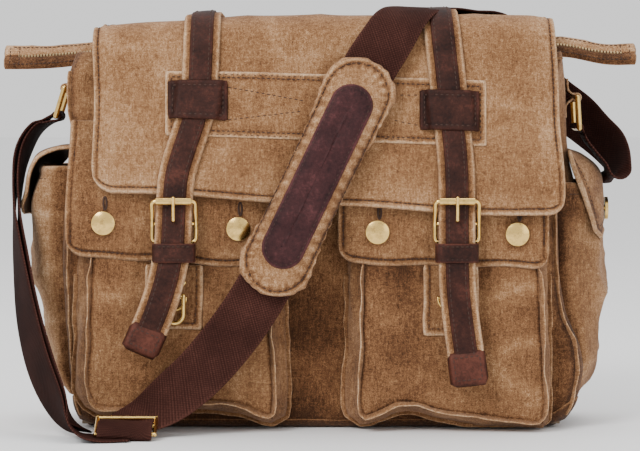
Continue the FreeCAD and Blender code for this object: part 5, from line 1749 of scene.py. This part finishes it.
def stadium_ring(half_length, half_width, count):
    """Points round a stadium, evenly spaced, along and across."""
    straight = half_length - half_width
    total = 4 * straight + 2 * math.pi * half_width
    pts = []
    for k in range(count):
        s = total * k / count
        if s < 2 * straight:
            pts.append((-straight + s, half_width))
        elif s < 2 * straight + math.pi * half_width:
            a = (s - 2 * straight) / half_width
            pts.append((straight + half_width * math.sin(a), half_width * math.cos(a)))
        elif s < 4 * straight + math.pi * half_width:
            pts.append((straight - (s - 2 * straight - math.pi * half_width), -half_width))
        else:
            a = (s - 4 * straight - math.pi * half_width) / half_width
            pts.append((-straight - half_width * math.sin(a), -half_width * math.cos(a)))
    return np.array(pts)


def pad_rings(half, levels, count):
    """Rings of a flat cushion: (inset, distance out) pairs from the back's middle to the front's."""
    origin, along, across, out = pad_frame()
    rings = []
    for inset, d in levels:
        ring = stadium_ring(max(half[0] - inset, 3.0), max(half[1] - inset, 1.0), count)
        rings.append(origin + along * ring[:, :1] + across * ring[:, 1:] + out * d)
    return np.array(rings)


def swell(obj, limit):
    """Cloth simulation of a stuffed cover, its move capped, applied to the mesh."""
    bpy.context.view_layer.objects.active = obj
    remesh = obj.modifiers.new("remesh", "REMESH")
    remesh.mode, remesh.voxel_size = "VOXEL", 0.0042
    apply_modifier(obj, remesh.name)
    before = np.array([v.co for v in obj.data.vertices], float)
    cloth = obj.modifiers.new("cloth", "CLOTH")
    cloth.settings.use_pressure = True
    cloth.settings.uniform_pressure_force = 4.0
    cloth.settings.effector_weights.gravity = 0.0
    scene = bpy.context.scene
    for f in range(1, 21):
        scene.frame_set(f)
    apply_modifier(obj, cloth.name)
    scene.frame_set(1)
    after = np.array([v.co for v in obj.data.vertices], float)
    move = after - before
    size = np.linalg.norm(move, axis=1, keepdims=True)
    after = before + move * np.minimum(1, limit * MM / np.maximum(size, 1e-9))
    obj.data.vertices.foreach_set("co", after.ravel())
    obj.data.update()


def apply_modifier(obj, name):
    with bpy.context.temp_override(object=obj, active_object=obj, selected_objects=[obj]):
        bpy.ops.object.modifier_apply(modifier=name)


PAD_SEAM = 4.8
# Shares of the pad leather's half width at which its rings lie, from its edge to its middle
INLAY_SHARES = np.array([1.0, 0.985, 0.95, 0.88, 0.78, 0.62, 0.44, 0.26, 0.1, 0.02])


def build_pad():
    origin, along, across, out = pad_frame()
    inner, outer = PAD_INNER + 0.6, PAD_OUTER - 1.6
    middle = (inner + outer) / 2
    levels = [(25, inner), (14, inner), (6, inner + 0.2), (2.2, inner + 0.8), (0.4, middle - 2)]
    levels += [(0.0, middle), (0.4, middle + 2), (2.0, outer - 1.2), (6, outer - 0.2)]
    levels += [(14, outer), (25, outer)]
    rings = pad_rings((PAD_HALF[0] - 1.2, PAD_HALF[1] - 1.2), levels, 150)
    cover = loft("shoulder_pad_cloth", rings, CANVAS, None, True, True)
    swell(cover, 5.0)
    sub = cover.modifiers.new("subdivide", "SUBSURF")
    sub.levels = sub.render_levels = 1
    apply_modifier(cover, "subdivide")
    mesh = cover.data
    p = np.array([v.co for v in mesh.vertices], float) / MM - origin
    a, c, d = p @ along, p @ across, p @ out
    # swelling draws the outline in, so it is let out again to the pad's real size
    a, c = a * PAD_HALF[0] / np.abs(a).max(), c * PAD_HALF[1] / np.abs(c).max()
    p = along * a[:, None] + across * c[:, None] + out * d[:, None]
    straight = PAD_HALF[0] - PAD_HALF[1]
    radial = np.hypot(np.maximum(np.abs(a) - straight, 0), c)
    edge = PAD_HALF[1] - radial
    front = smooth(middle, middle + 2.5, d)
    seam = bell(edge, PAD_SEAM, 1.3)
    angle = np.arctan2(c, np.where(np.abs(a) > straight, a - np.sign(a) * straight, 0.01))
    arc = np.where(np.abs(a) > straight, angle * PAD_HALF[1], a)
    pucker = np.sin(arc * 0.75 + 1.5 * noise(p, 14, 180)) * 0.6 * bell(edge, 7.5, 3.4)
    rough = 0.5 * noise(p, 20, 181) + 0.9 * (folds(p, 26, 182) - 0.4) * smooth(9, 13, edge)
    move = front * (-1.5 * seam + pucker + rough)
    clear_of_flap = np.maximum(PAD_INNER + 0.1 - (p @ out), 0)
    p = p + out * move[:, None] + out * clear_of_flap[:, None]
    mesh.vertices.foreach_set("co", ((p + origin) * MM).ravel())
    mesh.update()
    # pale rubbed rim, painted shade in the seam's groove, and painted light and shade on the puckers, lighter
    # where they rise
    tone = front * (0.55 * bell(edge, 2.2, 1.2) - 1.1 * seam + 0.7 * pucker)
    tone = tone + 0.3 * (folds(p, 20, 183) - 0.35) + 0.15
    layer = mesh.attributes.get("tone") or mesh.attributes.new("tone", "FLOAT", "POINT")
    layer.data.foreach_set("value", tone.astype(np.float32))
    if not mesh.uv_layers:
        uv_layer = mesh.uv_layers.new(name="metres")
        loops = np.zeros(len(mesh.loops), np.int32)
        mesh.loops.foreach_get("vertex_index", loops)
        flat = np.stack([c, a], 1)[loops] * MM
        uv_layer.data.foreach_set("uv", flat.astype(np.float32).ravel())
    if not mesh.materials:
        mesh.materials.append(CANVAS)
    mesh.polygons.foreach_set("use_smooth", np.ones(len(mesh.polygons), bool))
    mesh.update()
    place(cover, "main_flap", "canvas", ["shoulder_pad_cover", "shoulder_pad_foam"])
    tree = BVHTree.FromPolygons([v.co for v in mesh.vertices], [tuple(f.vertices) for f in mesh.polygons])

    def surface(points_a, points_c):
        """Heights out of the pad's front under given places."""
        found = []
        for pa, pc in zip(points_a.ravel(), points_c.ravel()):
            start = Vector((origin + along * pa + across * pc + out * 60) * MM)
            hit, *_ = tree.ray_cast(start, Vector(-out))
            found.append(PAD_OUTER if hit is None else (np.array(hit) / MM - origin) @ out)
        return np.array(found).reshape(points_a.shape)

    def lift(pa, pc, d):
        return origin + along * pa[..., None] + across * pc[..., None] + out * d[..., None]

    def sew_round(name, half, inset, count, above, slot, size):
        """Stitches on the pad, all round and one inset within an outline."""
        ring = stadium_ring(half[0] - inset, half[1] - inset, count)
        ring = np.vstack([ring, ring[:1]])
        run = lift(ring[:, 0], ring[:, 1], surface(ring[:, 0], ring[:, 1]) + above)
        sew(name, [(run, np.tile(out, (len(run), 1)))], "main_flap", slot, size)

    sew_round("shoulder_pad_stitches", PAD_HALF, PAD_SEAM, 320, 0.1, "canvas", (3.0, 3.8, 0.42))
    inset = (1 - INLAY_SHARES) * PAD_LEATHER_HALF[1]
    rows = np.array([stadium_ring(PAD_LEATHER_HALF[0] - k, PAD_LEATHER_HALF[1] - k, 160) for k in inset])
    height = surface(rows[..., 0], rows[..., 1])
    for _ in range(3):
        height = (height + np.roll(height, 1, axis=1) + np.roll(height, -1, axis=1)) / 3
    lip = np.interp(inset, [0, 0.3, 1.2, 2.6, 4.0, 20], [0.5, 1.2, 1.6, 1.0, 1.6, 1.7])[:, None]
    top = lift(rows[..., 0], rows[..., 1], height + lip)
    low = lift(rows[0, :, 0], rows[0, :, 1], height[0] - 0.6)
    rings = np.concatenate([low[None], top], 0)
    # pale rubbed rim, and painted shade in the groove along the stitches
    tone = np.concatenate([[0.3], np.interp(inset, [0, 1.0, 2.6, 4, 20], [0.5, 0.5, -0.6, 0.0, 0.1])])
    tone = tone[:, None] + 0.15 * noise(rings, 12, 184)
    obj = loft("shoulder_pad_inlay", rings, LEATHER_PURPLE, tone, False, True)
    place(obj, "main_flap", "leather", ["shoulder_pad_leather"])
    size = (2.6, 3.6, 0.38)
    sew_round("shoulder_pad_inlay_stitches", PAD_LEATHER_HALF, 2.6, 260, 1.15, "leather", size)


# CAD nodes that stay -------------------------------------------------------------------------------


def finish_hardware():
    for name, obj in NODES.items():
        if obj.hide_render:
            continue
        zip_part = name.startswith("zip_")
        material = ZIP_METAL if zip_part else BOARD if name == "base_board" else BRASS
        obj.data.materials.clear()
        obj.data.materials.append(material)
        obj.data.polygons.foreach_set("use_smooth", np.ones(len(obj.data.polygons), bool))
        edges = obj.modifiers.new("crisp_edges", "EDGE_SPLIT")
        edges.split_angle = math.radians(35)


# Scene ---------------------------------------------------------------------------------------------


def plain_material(name, colour, rough):
    g = Graph(name)
    fine = g.noise(g.place(), 3, 2)
    shaded = g.ramp(fine, [(0.0, tuple(c * 0.985 for c in colour)), (1.0, colour)])
    g.link(shaded, g.shader.inputs["Base Color"])
    return g.set(Roughness=rough, Specular_IOR_Level=0.3)


def area_light(name, at, toward, size, power):
    data = bpy.data.lights.new(name, "AREA")
    data.shape, data.size, data.energy = "SQUARE", size, power
    obj = bpy.data.objects.new(name, data)
    bpy.context.scene.collection.objects.link(obj)
    obj.location = at
    obj.rotation_mode = "QUATERNION"
    obj.rotation_quaternion = (Vector(toward) - Vector(at)).to_track_quat("-Z", "Y")


def build_scene():
    size = 12000.0
    t = np.linspace(-1, 1, 9)
    x, y = np.meshgrid(t * size, t * size)
    index = np.arange(81).reshape(9, 9)
    pale = plain_material("pale_floor", (0.93, 0.93, 0.93), 0.6)
    floor = make("floor", stack(x, y, 0 * x - 0.05), quads(index), pale)
    world = bpy.data.worlds.new("studio")
    bpy.context.scene.world = world
    world.use_nodes = True
    background = world.node_tree.nodes["Background"]
    background.inputs["Color"].default_value = (1, 1, 1, 1)
    background.inputs["Strength"].default_value = 1.1
    target = (0, -0.05, 0.15)
    area_light("key", (-1.1, -1.7, 1.7), target, 0.9, 44)
    area_light("fill", (1.5, -1.6, 0.8), target, 1.4, 8)
    area_light("top", (0.2, 0.3, 2.0), target, 1.2, 12)
    # the frame is as wide as `width` at the bag's front
    camera = bpy.data.cameras.new("camera")
    camera.sensor_width = 36.0
    distance, width = 2.0, 0.4608
    camera.lens = camera.sensor_width * distance / width
    obj = bpy.data.objects.new("camera", camera)
    bpy.context.scene.collection.objects.link(obj)
    front = -0.085
    look = Vector((-0.0007, front, 0.151))
    obj.location = (-0.0007, front - distance, 0.25)
    obj.rotation_mode = "QUATERNION"
    obj.rotation_quaternion = (look - obj.location).to_track_quat("-Z", "Y")
    bpy.context.scene.camera = obj


build_scene()
build_body()
build_zip()
build_flap()
build_band()
build_loops()
for side in ("left", "right"):
    build_strap(side)
    build_buckle(side)
    build_keeper(side)
    build_buckle_tab(side)
    build_pocket(side)
    build_pocket_flap(side)
    build_side_pocket(side)
    build_side_flap(side)
    build_ring_tab(side)
build_webbing()
build_pad()
finish_hardware()
